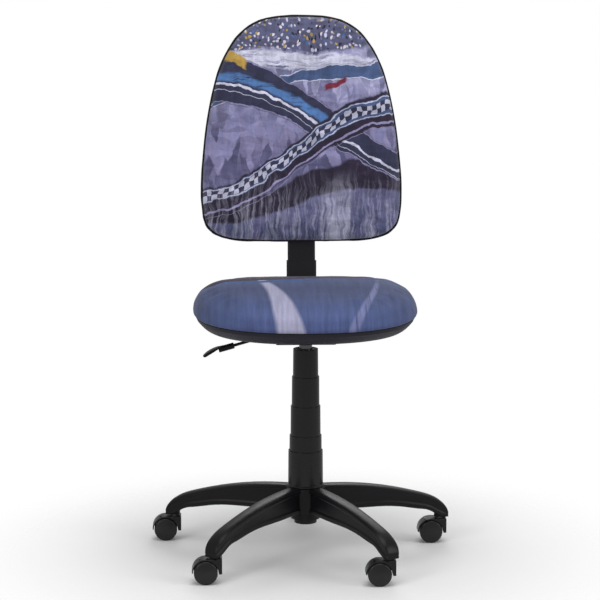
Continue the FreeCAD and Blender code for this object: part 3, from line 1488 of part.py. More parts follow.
def check_and_write():
    """Stops on any failed object, then writes one file for each sub-part."""
    doc.recompute()
    failed = [thing.Name for thing in doc.Objects
              if "Invalid" in thing.State or "Error" in thing.State]
    for thing in made_nodes:
        if thing.Shape.isNull() or not thing.Shape.isValid():
            failed.append(thing.Label)
    if failed:
        raise ValueError("failed: " + ", ".join(failed))
    os.makedirs("parts", exist_ok=True)
    for thing in made_nodes:
        thing.Shape.exportStep("parts/%s.step" % thing.Label)
    print("%d sub-parts written" % len(made_nodes))


build()
check_and_write()
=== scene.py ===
import json
import math

import bmesh
import bpy
from mathutils import Matrix, Vector

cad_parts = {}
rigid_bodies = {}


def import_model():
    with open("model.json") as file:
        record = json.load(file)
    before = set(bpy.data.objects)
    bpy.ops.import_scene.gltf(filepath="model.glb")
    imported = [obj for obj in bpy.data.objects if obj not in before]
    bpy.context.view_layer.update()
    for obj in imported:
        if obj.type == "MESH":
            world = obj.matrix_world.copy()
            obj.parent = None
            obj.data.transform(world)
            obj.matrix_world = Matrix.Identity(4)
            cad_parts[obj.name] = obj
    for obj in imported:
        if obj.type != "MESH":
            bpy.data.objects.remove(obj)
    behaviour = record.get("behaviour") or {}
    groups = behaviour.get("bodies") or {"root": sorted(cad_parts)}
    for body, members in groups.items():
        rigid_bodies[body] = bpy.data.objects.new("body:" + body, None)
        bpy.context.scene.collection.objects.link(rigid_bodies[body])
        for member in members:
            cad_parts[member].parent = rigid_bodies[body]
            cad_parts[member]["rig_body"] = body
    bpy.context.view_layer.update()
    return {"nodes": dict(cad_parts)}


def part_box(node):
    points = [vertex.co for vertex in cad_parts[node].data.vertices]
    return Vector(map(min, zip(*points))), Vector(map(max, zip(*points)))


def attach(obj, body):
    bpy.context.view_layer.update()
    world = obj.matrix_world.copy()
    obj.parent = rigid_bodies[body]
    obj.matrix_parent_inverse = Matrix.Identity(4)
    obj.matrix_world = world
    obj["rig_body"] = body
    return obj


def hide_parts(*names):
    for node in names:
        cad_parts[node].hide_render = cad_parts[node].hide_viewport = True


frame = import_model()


# Studio: a pale round floor that fades into white air, under soft boxes. The camera stands
# in front at adult eye height, a little to the sitter's right, with a long lens.
def feed(node, values):
    """Links a value that is a socket to the input of that name, and sets any other there."""
    for name, value in values.items():
        if isinstance(value, bpy.types.NodeSocket):
            node.id_data.links.new(value, node.inputs[name])
        else:
            node.inputs[name].default_value = value


def put(tree, kind, values=None, **settings):
    """Adds a node with its settings and feeds it."""
    made = tree.nodes.new(kind)
    for name, value in settings.items():
        setattr(made, name, value)
    feed(made, values or {})
    return made


def mapped(tree, value, low, high, start=0.0, end=1.0, how="LINEAR"):
    """Takes a value from low..high over to start..end, and holds it there beyond them."""
    made = put(tree, "ShaderNodeMapRange", {0: value, 1: low, 2: high, 3: start, 4: end},
               interpolation_type=how)
    return made.outputs[0]


def noise(tree, place, scale, detail, roughness=0.5):
    made = put(tree, "ShaderNodeTexNoise", {"Vector": place, "Scale": scale, "Detail": detail,
                                            "Roughness": roughness})
    return made.outputs[0]


def emboss(tree, shader, height, strength, distance):
    """Gives a surface the relief of a height field."""
    bump = put(tree, "ShaderNodeBump", {"Height": height, "Strength": strength, "Distance": distance})
    feed(shader, {"Normal": bump.outputs[0]})


def new_finish(name):
    """A material, with its node tree, its shader and the place of each point on the piece."""
    material = bpy.data.materials.new(name)
    material.use_nodes = True
    tree = material.node_tree
    place = put(tree, "ShaderNodeTexCoord").outputs["Object"]
    return material, tree, tree.nodes["Principled BSDF"], place


def placed(name, data):
    """Puts a mesh, a light or a camera into the scene, at the origin."""
    made = bpy.data.objects.new(name, data)
    bpy.context.scene.collection.objects.link(made)
    return made


def studio_floor(radius, rings=12, spokes=96):
    """A disc of even rings and spokes."""
    points, faces = [(0.0, 0.0, 0.0)], []
    for ring in range(1, rings + 1):
        for spoke in range(spokes):
            turn = math.tau * spoke / spokes
            reach = radius * ring / rings
            points.append((reach * math.cos(turn), reach * math.sin(turn), 0.0))
    for spoke in range(spokes):
        after = (spoke + 1) % spokes
        faces.append((0, 1 + spoke, 1 + after))
        for ring in range(rings - 1):
            low = 1 + ring * spokes
            faces.append((low + spoke, low + spokes + spoke, low + spokes + after, low + after))
    mesh = bpy.data.meshes.new("studio_floor")
    mesh.from_pydata(points, [], faces)
    return placed("studio_floor", mesh)


def floor_paint(plain, gone):
    """Pale matt paint, whole up to the first radius and faded out at the second."""
    material, tree, shader, place = new_finish("studio_floor_paint")
    reach = put(tree, "ShaderNodeVectorMath", {0: place}, operation="LENGTH").outputs["Value"]
    fade = mapped(tree, reach, plain, gone, 1.0, 0.0, how="SMOOTHSTEP")
    feed(shader, {"Base Color": (0.93, 0.93, 0.935, 1), "Roughness": 0.75,
                  "Specular IOR Level": 0.2, "Alpha": fade})
    emboss(tree, shader, noise(tree, place, scale=160.0, detail=3.0), strength=0.1, distance=0.0004)
    return material


floor = studio_floor(radius=2.0)
floor.data.materials.append(floor_paint(plain=0.30, gone=0.80))


def studio_air(seen, lighting):
    """White air: bright where it is looked at, softer as a light."""
    world = bpy.data.worlds.new("studio_air")
    bpy.context.scene.world = world
    world.use_nodes = True
    tree = world.node_tree
    looked_at = put(tree, "ShaderNodeLightPath").outputs["Is Camera Ray"]
    strength = mapped(tree, looked_at, 0.0, 1.0, lighting, seen)
    feed(tree.nodes["Background"], {"Color": (1.0, 1.0, 1.0, 1), "Strength": strength})


studio_air(seen=1.0, lighting=0.43)


def soft_box(name, place, aim, width, height, power):
    light = bpy.data.lights.new(name, "AREA")
    light.shape = "RECTANGLE"
    light.size = width
    light.size_y = height
    light.energy = power
    lamp = placed(name, light)
    lamp.location = place
    lamp.rotation_euler = (Vector(aim) - Vector(place)).to_track_quat("-Z", "Y").to_euler()


soft_box("box_left", place=(-3.0, -3.2, 2.4), aim=(0, 0, 0.55), width=1.5, height=2.2, power=40)
soft_box("box_right", place=(3.3, -1.6, 1.9), aim=(0, 0, 0.5), width=1.0, height=2.2, power=28)
soft_box("box_above", place=(0.2, -0.6, 3.6), aim=(0, 0, 0.3), width=2.6, height=2.0, power=38)
soft_box("box_behind", place=(0.4, 3.4, 2.6), aim=(0, 0, 0.5), width=2.0, height=1.6, power=30)

picture_pixels, focal_pixels, centre_shift_pixels = 600, 2600, 5.71
film_width = 36
camera_distance, camera_height, camera_side = 5.4667, 1.5308, math.radians(2.2)
camera_pitch, camera_yaw = 0.1768, centre_shift_pixels / focal_pixels
camera = placed("camera", bpy.data.cameras.new("camera"))
camera.data.sensor_width = film_width
camera.data.lens = film_width * focal_pixels / picture_pixels
camera.location = (-camera_distance * math.sin(camera_side),
                   -camera_distance * math.cos(camera_side), camera_height)
camera.rotation_euler = (math.pi / 2 - camera_pitch, 0, camera_yaw - camera_side)
bpy.context.scene.camera = camera
bpy.context.scene.view_settings.view_transform = "Standard"


# Star base: one moulding of glass-filled nylon, five arms on a hub. Its skin is a fine
# spark grain with faint paler marks where feet have rubbed it.
def sums(tree, operation, first, second=0.0, third=0.0):
    return put(tree, "ShaderNodeMath", {0: first, 1: second, 2: third},
               operation=operation).outputs[0]


def blend_colour(tree, factor, first, second, mode="MIX"):
    made = put(tree, "ShaderNodeMix", {0: factor, 6: first, 7: second},
               data_type="RGBA", blend_type=mode)
    return made.outputs[2]


def name_inputs(tree, wanted):
    """Gives a node tree its inputs, each with a label, a kind and a first value."""
    for label, kind, value in wanted:
        socket = tree.interface.new_socket(label, in_out="INPUT", socket_type="NodeSocket" + kind)
        if value is not None:
            socket.default_value = value


def new_group(name, wanted, results):
    """A shader group: its tree, its inputs as they are read inside it, and its output node."""
    tree = bpy.data.node_groups.new(name, "ShaderNodeTree")
    name_inputs(tree, wanted)
    for label in results:
        tree.interface.new_socket(label, in_out="OUTPUT", socket_type="NodeSocketFloat")
    return tree, tree.nodes.new("NodeGroupInput").outputs, tree.nodes.new("NodeGroupOutput")


def make_moulded_grain():
    """Spark grain of a steel mould, with slow uneven shine and faint rub marks."""
    tree, given, out = new_group(
        "moulded_grain",
        [("Place", "Vector", None), ("Grain", "Float", 1400.0), ("Shine", "Float", 0.4),
         ("Unevenness", "Float", 0.08)],
        ("Height", "Roughness", "Rub"))
    place = given["Place"]
    slow = sums(tree, "SUBTRACT", noise(tree, place, scale=21.0, detail=4.0), 0.5)
    swing = sums(tree, "MULTIPLY", slow, sums(tree, "MULTIPLY", given["Unevenness"], 2.0))
    rubs = noise(tree, place, scale=95.0, detail=6.0, roughness=0.7)
    feed(out, {"Height": noise(tree, place, scale=given["Grain"], detail=2.0),
               "Roughness": sums(tree, "ADD", given["Shine"], swing),
               "Rub": mapped(tree, rubs, 0.58, 0.78)})
    return tree


moulded_grain = make_moulded_grain()


def plastic(name, colour, shine, worn, grain=1400.0, depth=0.00006, specular=0.22):
    """Moulded plastic, a little paler, the worn colour, where it is rubbed."""
    material, tree, shader, place = new_finish(name)
    skin = put(tree, "ShaderNodeGroup", {"Place": place, "Grain": grain, "Shine": shine},
               node_tree=moulded_grain).outputs
    rubbed = sums(tree, "MULTIPLY", skin["Rub"], 0.35)
    feed(shader, {"Base Color": blend_colour(tree, rubbed, (*colour, 1), (*worn, 1)),
                  "Roughness": skin["Roughness"], "Specular IOR Level": specular})
    emboss(tree, shader, skin["Height"], strength=0.5, distance=depth)
    return material


weld_distance = 0.000004
flat_angle = math.radians(0.4)


def new_piece(form, name):
    """Makes an object of an edited mesh, at the origin."""
    mesh = bpy.data.meshes.new(name)
    form.to_mesh(mesh)
    form.free()
    return placed(name, mesh)


def merged_copy(node, name=None):
    """A copy of a CAD node's mesh with its loose triangles joined, flat areas made whole."""
    form = bmesh.new()
    form.from_mesh(frame["nodes"][node].data)
    bmesh.ops.remove_doubles(form, verts=form.verts, dist=weld_distance)
    bmesh.ops.dissolve_limit(form, angle_limit=flat_angle, verts=form.verts, edges=form.edges)
    return new_piece(form, name or node + "_skin")


def smooth_by_angle(piece, degrees):
    for polygon in piece.data.polygons:
        polygon.use_smooth = True
    piece.data.set_sharp_from_angle(angle=math.radians(degrees))


def stand_in(piece, node, material):
    """Gives a piece its finish and puts it in the place of a CAD node."""
    piece.data.materials.clear()
    piece.data.materials.append(material)
    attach(piece, frame["nodes"][node]["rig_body"])
    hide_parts(node)
    return piece


def dress(node, material, edge=0.0, degrees=32):
    """Replaces a CAD node by its merged copy with eased edges and a finish."""
    piece = merged_copy(node)
    smooth_by_angle(piece, degrees)
    if edge:
        ease = piece.modifiers.new("eased_edges", "BEVEL")
        ease.width = edge
        ease.segments = 2
        ease.limit_method = "ANGLE"
        ease.angle_limit = math.radians(degrees)
        ease.harden_normals = True
    return stand_in(piece, node, material)


black_nylon = plastic("black_nylon", (0.0062, 0.0062, 0.0076), shine=0.36, worn=(0.018, 0.018, 0.021))
dress("star_base", black_nylon, edge=0.0009, degrees=28)


# Casters: nylon hoods moulded over a web, two solid wheels each on a plated axle, all held
# by a plated stem that is pushed into the arm's socket.
wheel_nylon = plastic("wheel_nylon", (0.0085, 0.0082, 0.0098), shine=0.30, worn=(0.04, 0.04, 0.044),
                      grain=900.0, depth=0.00008, specular=0.40)
hood_nylon = plastic("hood_nylon", (0.0054, 0.0054, 0.0066), shine=0.31, worn=(0.018, 0.018, 0.021),
                     specular=0.30)


def plated_steel(name, colour, shine, brushed=0.0):
    """Bright steel with fine level lines and a cloudy tone."""
    material, tree, shader, place = new_finish(name)
    drawn = put(tree, "ShaderNodeMapping", {"Vector": place, "Scale": (40.0, 40.0, 2600.0)})
    lines = noise(tree, drawn.outputs[0], scale=1.0, detail=3.0)
    cloud = noise(tree, place, scale=60.0, detail=4.0)
    dull = [value * 0.8 for value in colour]
    feed(shader, {"Base Color": blend_colour(tree, cloud, (*dull, 1), (*colour, 1)), "Metallic": 1.0,
                  "Roughness": sums(tree, "MULTIPLY_ADD", lines, 0.12 + brushed, shine)})
    emboss(tree, shader, lines, strength=0.25, distance=0.00002)
    return material


zinc = plated_steel("zinc_plate", (0.58, 0.59, 0.60), shine=0.28, brushed=0.1)
# painted shade: this steel is darkened to a dull grey for the shade under the seat that the bright
# cylinder reflects
shade_darkened_steel = plated_steel("ground_steel", (0.17, 0.16, 0.17), shine=0.12)


def quarter_turn(steps):
    return [math.pi / 2 * step / steps for step in range(steps + 1)]


def domed_wheel(node, twin, inner_edge=0.0014, rim_in=0.0048, rim_down=0.0034, crown=0.0025,
                rings=10, spokes=72):
    """A wheel turned on its own axis to the sizes of its CAD node, with a soft rim and a dome."""
    low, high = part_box(node)
    middle, radius = (low + high) / 2, (high.z - low.z) / 2
    outward = (middle - sum(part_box(twin), Vector()) / 2).normalized()
    measured = []
    for vertex in frame["nodes"][node].data.vertices:
        point = vertex.co - middle
        level = point.dot(outward)
        measured.append((level, (point - outward * level).length))
    inner, outer = min(measured)[0], max(measured)[0]
    bore = min(reach for level, reach in measured if level < inner + inner_edge / 2)
    bore_end = max(level for level, reach in measured if abs(reach - bore) < bore / 10)
    face = radius - rim_in
    profile = [(0.0, bore_end), (bore, bore_end), (bore, inner)]
    profile += [(radius - inner_edge * (1 - math.sin(turn)), inner + inner_edge * (1 - math.cos(turn)))
                for turn in quarter_turn(4)]
    profile += [(face + rim_in * math.cos(turn), outer - crown - rim_down * (1 - math.sin(turn)))
                for turn in quarter_turn(8)]
    profile += [(face * (1 - ring / rings), outer - crown * (1 - ring / rings) ** 2)
                for ring in range(1, rings + 1)]
    form = bmesh.new()
    upright = Vector((0, 0, 1))
    drawn = [form.verts.new(middle + outward * level + upright * reach) for reach, level in profile]
    edges = [form.edges.new(pair) for pair in zip(drawn, drawn[1:])]
    bmesh.ops.spin(form, geom=drawn + edges, cent=middle, axis=outward, angle=math.tau, steps=spokes)
    bmesh.ops.remove_doubles(form, verts=form.verts, dist=weld_distance)
    bmesh.ops.recalc_face_normals(form, faces=form.faces)
    wheel = new_piece(form, node + "_skin")
    smooth_by_angle(wheel, 40)
    return stand_in(wheel, node, wheel_nylon)


dress("caster_stems", zinc, edge=0.0003)
for number in range(1, 6):
    dress("caster_housing_%d" % number, hood_nylon, edge=0.0005, degrees=30)
    dress("caster_axle_%d" % number, zinc, edge=0.0003)
    for word, twin in (("left", "right"), ("right", "left")):
        domed_wheel("caster_wheel_%s_%d" % (word, number), "caster_wheel_%s_%d" % (twin, number))


# Gas lift: a powder-coated outer tube pressed into the hub, a white guide bush, the ground
# steel cylinder that slides in it, and the small parts at the foot of the piston rod.
def powder_coat(name, colour, shine):
    """Baked paint with a fine orange peel and a cloudy tone."""
    material, tree, shader, place = new_finish(name)
    peel = put(tree, "ShaderNodeTexVoronoi", {"Vector": place, "Scale": 520.0}, feature="SMOOTH_F1")
    cloud = noise(tree, place, scale=30.0, detail=5.0)
    darker = [value * 0.75 for value in colour]
    lighter = [value * 1.3 for value in colour]
    feed(shader, {"Base Color": blend_colour(tree, cloud, (*darker, 1), (*lighter, 1)),
                  "Roughness": sums(tree, "MULTIPLY_ADD", cloud, 0.16, shine - 0.08),
                  "Specular IOR Level": 0.25})
    emboss(tree, shader, peel.outputs[0], strength=0.3, distance=0.00008)
    return material


black_coat = powder_coat("black_powder_coat", (0.0080, 0.0080, 0.0095), shine=0.36)
white_nylon = plastic("white_nylon", (0.72, 0.72, 0.69), shine=0.42, worn=(0.6, 0.6, 0.57), specular=0.4)
black_rubber = plastic("black_rubber", (0.02, 0.02, 0.02), shine=0.75, worn=(0.05, 0.05, 0.05),
                       grain=700.0)
dress("column_tube", black_coat, edge=0.0003)
dress("guide_bush", white_nylon, edge=0.0003)
# painted shade: the cylinder's and the rod's darkened steel stands for the dark reflection under the
# seat
dress("gas_cylinder", shade_darkened_steel, edge=0.0004)
dress("piston_rod", shade_darkened_steel, edge=0.0002)
dress("release_button", zinc, edge=0.0002)
dress("rod_buffer", black_rubber, edge=0.0003)
for node in ("bearing_washer", "thrust_bearing", "rod_clip"):
    dress(node, zinc)


# Telescopic cover: five thin sleeves of satin polypropylene that slide into each other,
# the lowest standing on the hub with a flared foot.
cover_plastic = plastic("cover_polypropylene", (0.0070, 0.0070, 0.0084), shine=0.28,
                        worn=(0.018, 0.018, 0.021), specular=0.42)
for number in range(1, 6):
    dress("cover_section_%d" % number, cover_plastic, edge=0.00035, degrees=30)


# Mechanism: a folded and coated steel box with its tilt pin, carrier and spring, and the
# release lever with its moulded paddle, which is pushed over the end of the rod.
for node in ("mechanism_housing", "bar_carrier", "taper_socket", "lever_rod"):
    dress(node, black_coat, edge=0.0005)
for node in ("tilt_pin", "lever_pin", "seat_bolts", "tee_nuts", "shell_screws", "back_bolts"):
    dress(node, zinc, edge=0.0002)
spring_steel = plated_steel("spring_steel", (0.35, 0.35, 0.37), shine=0.3)
dress("tilt_spring", spring_steel, degrees=60)
knob_plastic = plastic("knob_plastic", (0.0064, 0.0064, 0.0078), shine=0.38, worn=(0.018, 0.018, 0.021))
dress("lever_handle", knob_plastic, edge=0.0012, degrees=30)
dress("depth_knob", knob_plastic, edge=0.0008, degrees=35)
dress("height_knob", knob_plastic, edge=0.0008, degrees=35)


# Back bar: flat steel bent up behind the seat, coated black, with two plastic sleeves over
# it that slide into each other when the backrest is raised or lowered.
dress("back_bar", black_coat, edge=0.0008)
dress("slide_bracket", black_coat, edge=0.0005)
sleeve_plastic = plastic("sleeve_polypropylene", (0.020, 0.020, 0.024), shine=0.38,
                         worn=(0.036, 0.036, 0.042))
dress("bar_cover_lower", sleeve_plastic, edge=0.0006)
dress("bar_cover_upper", sleeve_plastic, edge=0.0006)


# Boards: birch plywood cut to the outline of the pads, hidden between them and the shells.
# The foam is glued to their faces, and bolts hold them to the mechanism and the bracket.
def plywood():
    material, tree, shader, place = new_finish("birch_plywood")
    grain = put(tree, "ShaderNodeMapping", {"Vector": place, "Scale": (14.0, 130.0, 900.0)})
    figure = noise(tree, grain.outputs[0], scale=1.0, detail=5.0)
    tone = blend_colour(tree, figure, (0.40, 0.26, 0.13, 1), (0.72, 0.56, 0.36, 1))
    feed(shader, {"Base Color": tone, "Roughness": 0.62})
    emboss(tree, shader, figure, strength=0.3, distance=0.0002)
    return material


birch = plywood()
dress("seat_board", birch, edge=0.0006)
dress("back_board", birch, edge=0.0006)


# Shells: charcoal polypropylene pans that close the seat from below and the back from
# behind, in a leathery mould grain.
shell_plastic = plastic("shell_polypropylene", (0.022, 0.0215, 0.033), shine=0.44,
                        worn=(0.036, 0.036, 0.043), grain=620.0, depth=0.00012)
dress("seat_shell", shell_plastic, edge=0.0009, degrees=40)
dress("back_shell", shell_plastic, edge=0.0009, degrees=40)


# Printed cloth: a polyester weave with a generic print of sweeping ribbons and a chequered
# band in slate, navy, lavender and pale tones, laid on with dry brush streaks.
def scaled(tree, vector, amount):
    """A vector or a colour times a number."""
    return put(tree, "ShaderNodeVectorMath", {0: vector, "Scale": amount},
               operation="SCALE").outputs[0]


def make_weave():
    """Over-and-under threads: their height, and a tone that varies from thread to thread."""
    tree, given, out = new_group(
        "weave", [("Place", "Vector", None), ("Threads", "Float", 1500.0)], ("Height", "Tone"))
    counted = scaled(tree, given["Place"], given["Threads"])
    parts = put(tree, "ShaderNodeSeparateXYZ", {0: counted}).outputs
    warp = sums(tree, "SINE", sums(tree, "MULTIPLY", parts[0], math.pi))
    weft = sums(tree, "SINE", sums(tree, "MULTIPLY", parts[1], math.pi))
    over = sums(tree, "MULTIPLY", warp, weft)
    slub = noise(tree, given["Place"], scale=260.0, detail=5.0)
    uneven = sums(tree, "MULTIPLY_ADD", slub, 0.5, 0.25)
    feed(out, {"Height": sums(tree, "MULTIPLY_ADD", over, 0.5, 0.5),
               "Tone": sums(tree, "MULTIPLY_ADD", over, 0.10, uneven)})
    return tree


def make_ribbon():
    """A printed ribbon that waves across the cloth: its fill and its thin outline."""
    first_values = {"Across": 0.0, "Up": 0.0, "Level": 0.2, "Slope": 0.0, "Swing": 0.05,
                    "Waves": 12.0, "Phase": 0.0, "Half width": 0.03, "Taper": 0.0, "Soft": 0.0015,
                    "Start": -1.0, "End": 1.0, "Streak": 1.0, "Dry": 0.0}
    tree, given, out = new_group(
        "ribbon", [(label, "Float", value) for label, value in first_values.items()],
        ("Fill", "Line", "Along", "Side"))
    across = given["Across"]
    angle = sums(tree, "MULTIPLY_ADD", across, given["Waves"], given["Phase"])
    waving = sums(tree, "MULTIPLY_ADD", sums(tree, "SINE", angle), given["Swing"], given["Level"])
    centre = sums(tree, "ADD", waving, sums(tree, "MULTIPLY", across, given["Slope"]))
    side = sums(tree, "SUBTRACT", given["Up"], centre)
    half = sums(tree, "MULTIPLY_ADD", across, given["Taper"], given["Half width"])
    inside = sums(tree, "SUBTRACT", half, sums(tree, "ABSOLUTE", side))
    fill = mapped(tree, inside, 0.0, given["Soft"])
    line_inset, line_core, line_edge = 0.0035, 0.0007, 0.0018
    off = sums(tree, "ABSOLUTE", sums(tree, "SUBTRACT", inside, line_inset))
    line = mapped(tree, off, line_core, line_edge, 1.0, 0.0)
    end_fade, dry_fade = 0.006, 0.05
    begun = mapped(tree, sums(tree, "SUBTRACT", across, given["Start"]), 0.0, end_fade)
    ended = mapped(tree, sums(tree, "SUBTRACT", given["End"], across), 0.0, end_fade)
    wet = mapped(tree, sums(tree, "SUBTRACT", given["Streak"], given["Dry"]), -dry_fade, dry_fade)
    shown = sums(tree, "MULTIPLY", sums(tree, "MULTIPLY", begun, ended), wet)
    feed(out, {"Fill": sums(tree, "MULTIPLY", fill, shown),
               "Line": sums(tree, "MULTIPLY", line, shown), "Along": across, "Side": side})
    return tree


weave = make_weave()
ribbon = make_ribbon()


def colour_of(red, green, blue):
    """A printed colour given as screen numbers, in linear light."""
    def linear(value):
        value /= 255
        return value / 12.92 if value <= 0.04045 else ((value + 0.055) / 1.055) ** 2.4
    return (linear(red), linear(green), linear(blue), 1)


def cloth_base(name):
    """Matt cloth, before its print and its weave."""
    material, tree, shader, place = new_finish(name)
    feed(shader, {"Roughness": 0.72, "Specular IOR Level": 0.25, "Sheen Weight": 0.12,
                  "Sheen Roughness": 0.45})
    return material, tree, shader, place


def brush_streaks(tree, across, up, fine, long):
    """Dry brush marks drawn out along one way of the cloth."""
    drawn = put(tree, "ShaderNodeCombineXYZ", {0: sums(tree, "MULTIPLY", across, fine),
                                               1: sums(tree, "MULTIPLY", up, long)})
    return noise(tree, drawn.outputs[0], scale=1.0, detail=7.0, roughness=0.68)


def finish_cloth(tree, shader, place, printed):
    """Lays the weave over a print: the tone of its threads, and their relief."""
    threads = put(tree, "ShaderNodeGroup", {"Place": place}, node_tree=weave).outputs
    shade = sums(tree, "MULTIPLY_ADD", threads["Tone"], 0.5, 0.76)
    feed(shader, {"Base Color": scaled(tree, printed, shade)})
    emboss(tree, shader, threads["Height"], strength=0.35, distance=0.00022)


def add_ribbon(tree, printed, across, up, tint, line=None, **sizes):
    """Lays one ribbon of a tint over the print, and its outline where it has a line colour."""
    made = put(tree, "ShaderNodeGroup", {"Across": across, "Up": up}, node_tree=ribbon)
    feed(made, {label.replace("_", " ").capitalize(): value for label, value in sizes.items()})
    printed = blend_colour(tree, made.outputs["Fill"], printed, tint)
    if line is not None:
        mask = sums(tree, "MULTIPLY", made.outputs["Line"], 0.85)
        printed = blend_colour(tree, mask, printed, line)
    return printed, made.outputs


def ramp(tree, value, stops, mode="LINEAR"):
    made = put(tree, "ShaderNodeValToRGB", {0: value})
    bar = made.color_ramp
    bar.interpolation = mode
    while len(bar.elements) < len(stops):
        bar.elements.new(0.5)
    for element, (spot, colour) in zip(bar.elements, stops):
        element.position = spot
        element.color = colour
    return made.outputs[0]


# Seat cushion: moulded foam glued to the board, the printed cloth pulled over it and
# stapled below. It is crowned, dished where one sits, and rolls down at the front.
def baked(piece):
    """Applies what stands on a piece, and leaves plain mesh."""
    graph = bpy.context.evaluated_depsgraph_get()
    mesh = bpy.data.meshes.new_from_object(piece.evaluated_get(graph))
    piece.modifiers.clear()
    old = piece.data
    piece.data = mesh
    bpy.data.meshes.remove(old)
    return piece


def remeshed(node, name, scale, voxel):
    """A closed even mesh of the pad's foam form, scaled a little about its middle."""
    pad = merged_copy(node, name)
    low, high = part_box(node)
    middle = (low + high) / 2
    for vertex in pad.data.vertices:
        offset = vertex.co - middle
        vertex.co = middle + Vector([a * b for a, b in zip(offset, scale)])
    grid = pad.modifiers.new("even_mesh", "REMESH")
    grid.mode = "VOXEL"
    grid.voxel_size = voxel
    return baked(pad)


def puffed(piece, held, cap, pressure, frames=20):
    """Lets the cloth swell over its foam, by the cap at most; held(point) says what is glued."""
    rest = [vertex.co.copy() for vertex in piece.data.vertices]
    glued = piece.vertex_groups.new(name="glued")
    glued.add([i for i, point in enumerate(rest) if held(point)], 1.0, "ADD")
    cloth = piece.modifiers.new("cloth", "CLOTH")
    cloth.settings.use_pressure = True
    cloth.settings.uniform_pressure_force = pressure
    cloth.settings.quality = 4
    cloth.settings.mass = 0.3
    cloth.settings.tension_stiffness = 25
    cloth.settings.compression_stiffness = 25
    cloth.settings.bending_stiffness = 2
    cloth.settings.shrink_min = 0.0
    cloth.settings.vertex_group_mass = "glued"
    cloth.settings.effector_weights.gravity = 0
    cloth.point_cache.frame_start = 1
    cloth.point_cache.frame_end = frames
    for step in range(1, frames + 1):
        bpy.context.scene.frame_set(step)
    baked(piece)
    bpy.context.scene.frame_set(1)
    for vertex, start in zip(piece.data.vertices, rest):
        move = vertex.co - start
        if move.length > cap:
            vertex.co = start + move * (cap / move.length)
    return piece


def eased(piece, passes):
    """Relaxes the small steps of the remesh and adds one subdivision."""
    relax = piece.modifiers.new("relaxed", "SMOOTH")
    relax.factor = 0.5
    relax.iterations = passes
    finer = piece.modifiers.new("finer", "SUBSURF")
    finer.levels = 1
    finer.render_levels = 1
    baked(piece)
    for polygon in piece.data.polygons:
        polygon.use_smooth = True
    return piece


seat_low, seat_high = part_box("seat_pad")
cushion_voxel, seat_hem = 0.0045, 0.007
seat_cushion = remeshed("seat_pad", "seat_cushion", scale=(1.014, 1.012, 1.02), voxel=cushion_voxel)
puffed(seat_cushion, lambda point: point.z < seat_low.z + seat_hem, cap=0.006, pressure=5.0)
eased(seat_cushion, passes=16)


def seat_print():
    """The cloth of the seat. Its print runs down over the front roll, so height counts as length."""
    material, tree, shader, place = cloth_base("seat_print")
    parts = put(tree, "ShaderNodeSeparateXYZ", {0: place}).outputs
    across = parts[0]
    along = sums(tree, "ADD", parts[1], sums(tree, "SUBTRACT", parts[2], seat_high.z))
    streaks = brush_streaks(tree, across, along, fine=95.0, long=5.0)
    broad = brush_streaks(tree, across, along, fine=11.0, long=1.8)
    front, rear = -0.27, 0.18
    far = mapped(tree, along, front, rear)
    shift = sums(tree, "ADD", far, sums(tree, "MULTIPLY", sums(tree, "SUBTRACT", broad, 0.5), 0.22))
    ground = ramp(tree, shift, [
        (0.0, colour_of(80, 92, 141)), (0.14, colour_of(82, 96, 143)),
        (0.36, colour_of(70, 82, 123)), (0.58, colour_of(60, 72, 112)),
        (0.80, colour_of(76, 90, 128)), (1.0, colour_of(56, 60, 92))])
    printed, _ = add_ribbon(
        tree, ground, along, across, colour_of(170, 169, 198), streak=streaks, dry=0.30, level=-0.086,
        slope=-0.24, swing=0.016, waves=8.0, phase=0.9, half_width=0.018, taper=-0.055, soft=0.009)
    printed, _ = add_ribbon(
        tree, printed, along, across, colour_of(116, 122, 166), streak=streaks, dry=0.42, level=0.142,
        slope=0.20, swing=0.012, waves=9.0, phase=2.4, half_width=0.008, taper=-0.02, soft=0.006)
    printed, _ = add_ribbon(
        tree, printed, across, along, colour_of(58, 88, 150), streak=broad, dry=0.40, level=0.088,
        slope=0.10, swing=0.008, waves=16.0, phase=0.4, half_width=0.013, soft=0.004)
    printed, _ = add_ribbon(
        tree, printed, across, along, colour_of(50, 44, 66), level=0.131, slope=0.10,
        swing=0.014, waves=10.0, phase=1.2, half_width=0.036, soft=0.006)
    printed, _ = add_ribbon(
        tree, printed, across, along, colour_of(92, 66, 92), streak=broad, dry=0.45, level=0.118,
        slope=-0.06, swing=0.010, waves=14.0, phase=2.6, half_width=0.008, soft=0.004)
    marks = sums(tree, "MULTIPLY_ADD", streaks, 1.30, 0.35)
    finish_cloth(tree, shader, place, scaled(tree, printed, marks))
    return material


seat_cushion.data.materials.clear()
seat_cushion.data.materials.append(seat_print())
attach(seat_cushion, "seat")
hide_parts("seat_pad")


# Seat welt: a thin black cord sewn into the hem of the cloth, where it turns under the pad
# above the pan. It runs once round the rim, and its black is painted shade for the gap there.
def rim_ring(node, name, stand, high, inward, corners=60):
    """A ring of edges just inside the rim of a node; stand is what lays that rim level."""
    centre = stand @ (sum(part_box(node), Vector()) / 2)
    back_again = stand.inverted()
    outermost = {}
    for vertex in frame["nodes"][node].data.vertices:
        point = stand @ vertex.co
        angle = math.atan2(point.y - centre.y, point.x - centre.x)
        reach = math.hypot(point.x - centre.x, point.y - centre.y)
        corner = round(angle / math.tau * corners) % corners
        if corner not in outermost or reach > outermost[corner][0]:
            outermost[corner] = (reach, point)
    ring = []
    for corner in sorted(outermost):
        reach, point = outermost[corner]
        step = Vector((centre.x - point.x, centre.y - point.y, 0)) * (inward / reach)
        ring.append(back_again @ (point + step + Vector((0, 0, high))))
    mesh = bpy.data.meshes.new(name)
    mesh.from_pydata(ring, [(i, (i + 1) % len(ring)) for i in range(len(ring))], [])
    return placed(name, mesh)


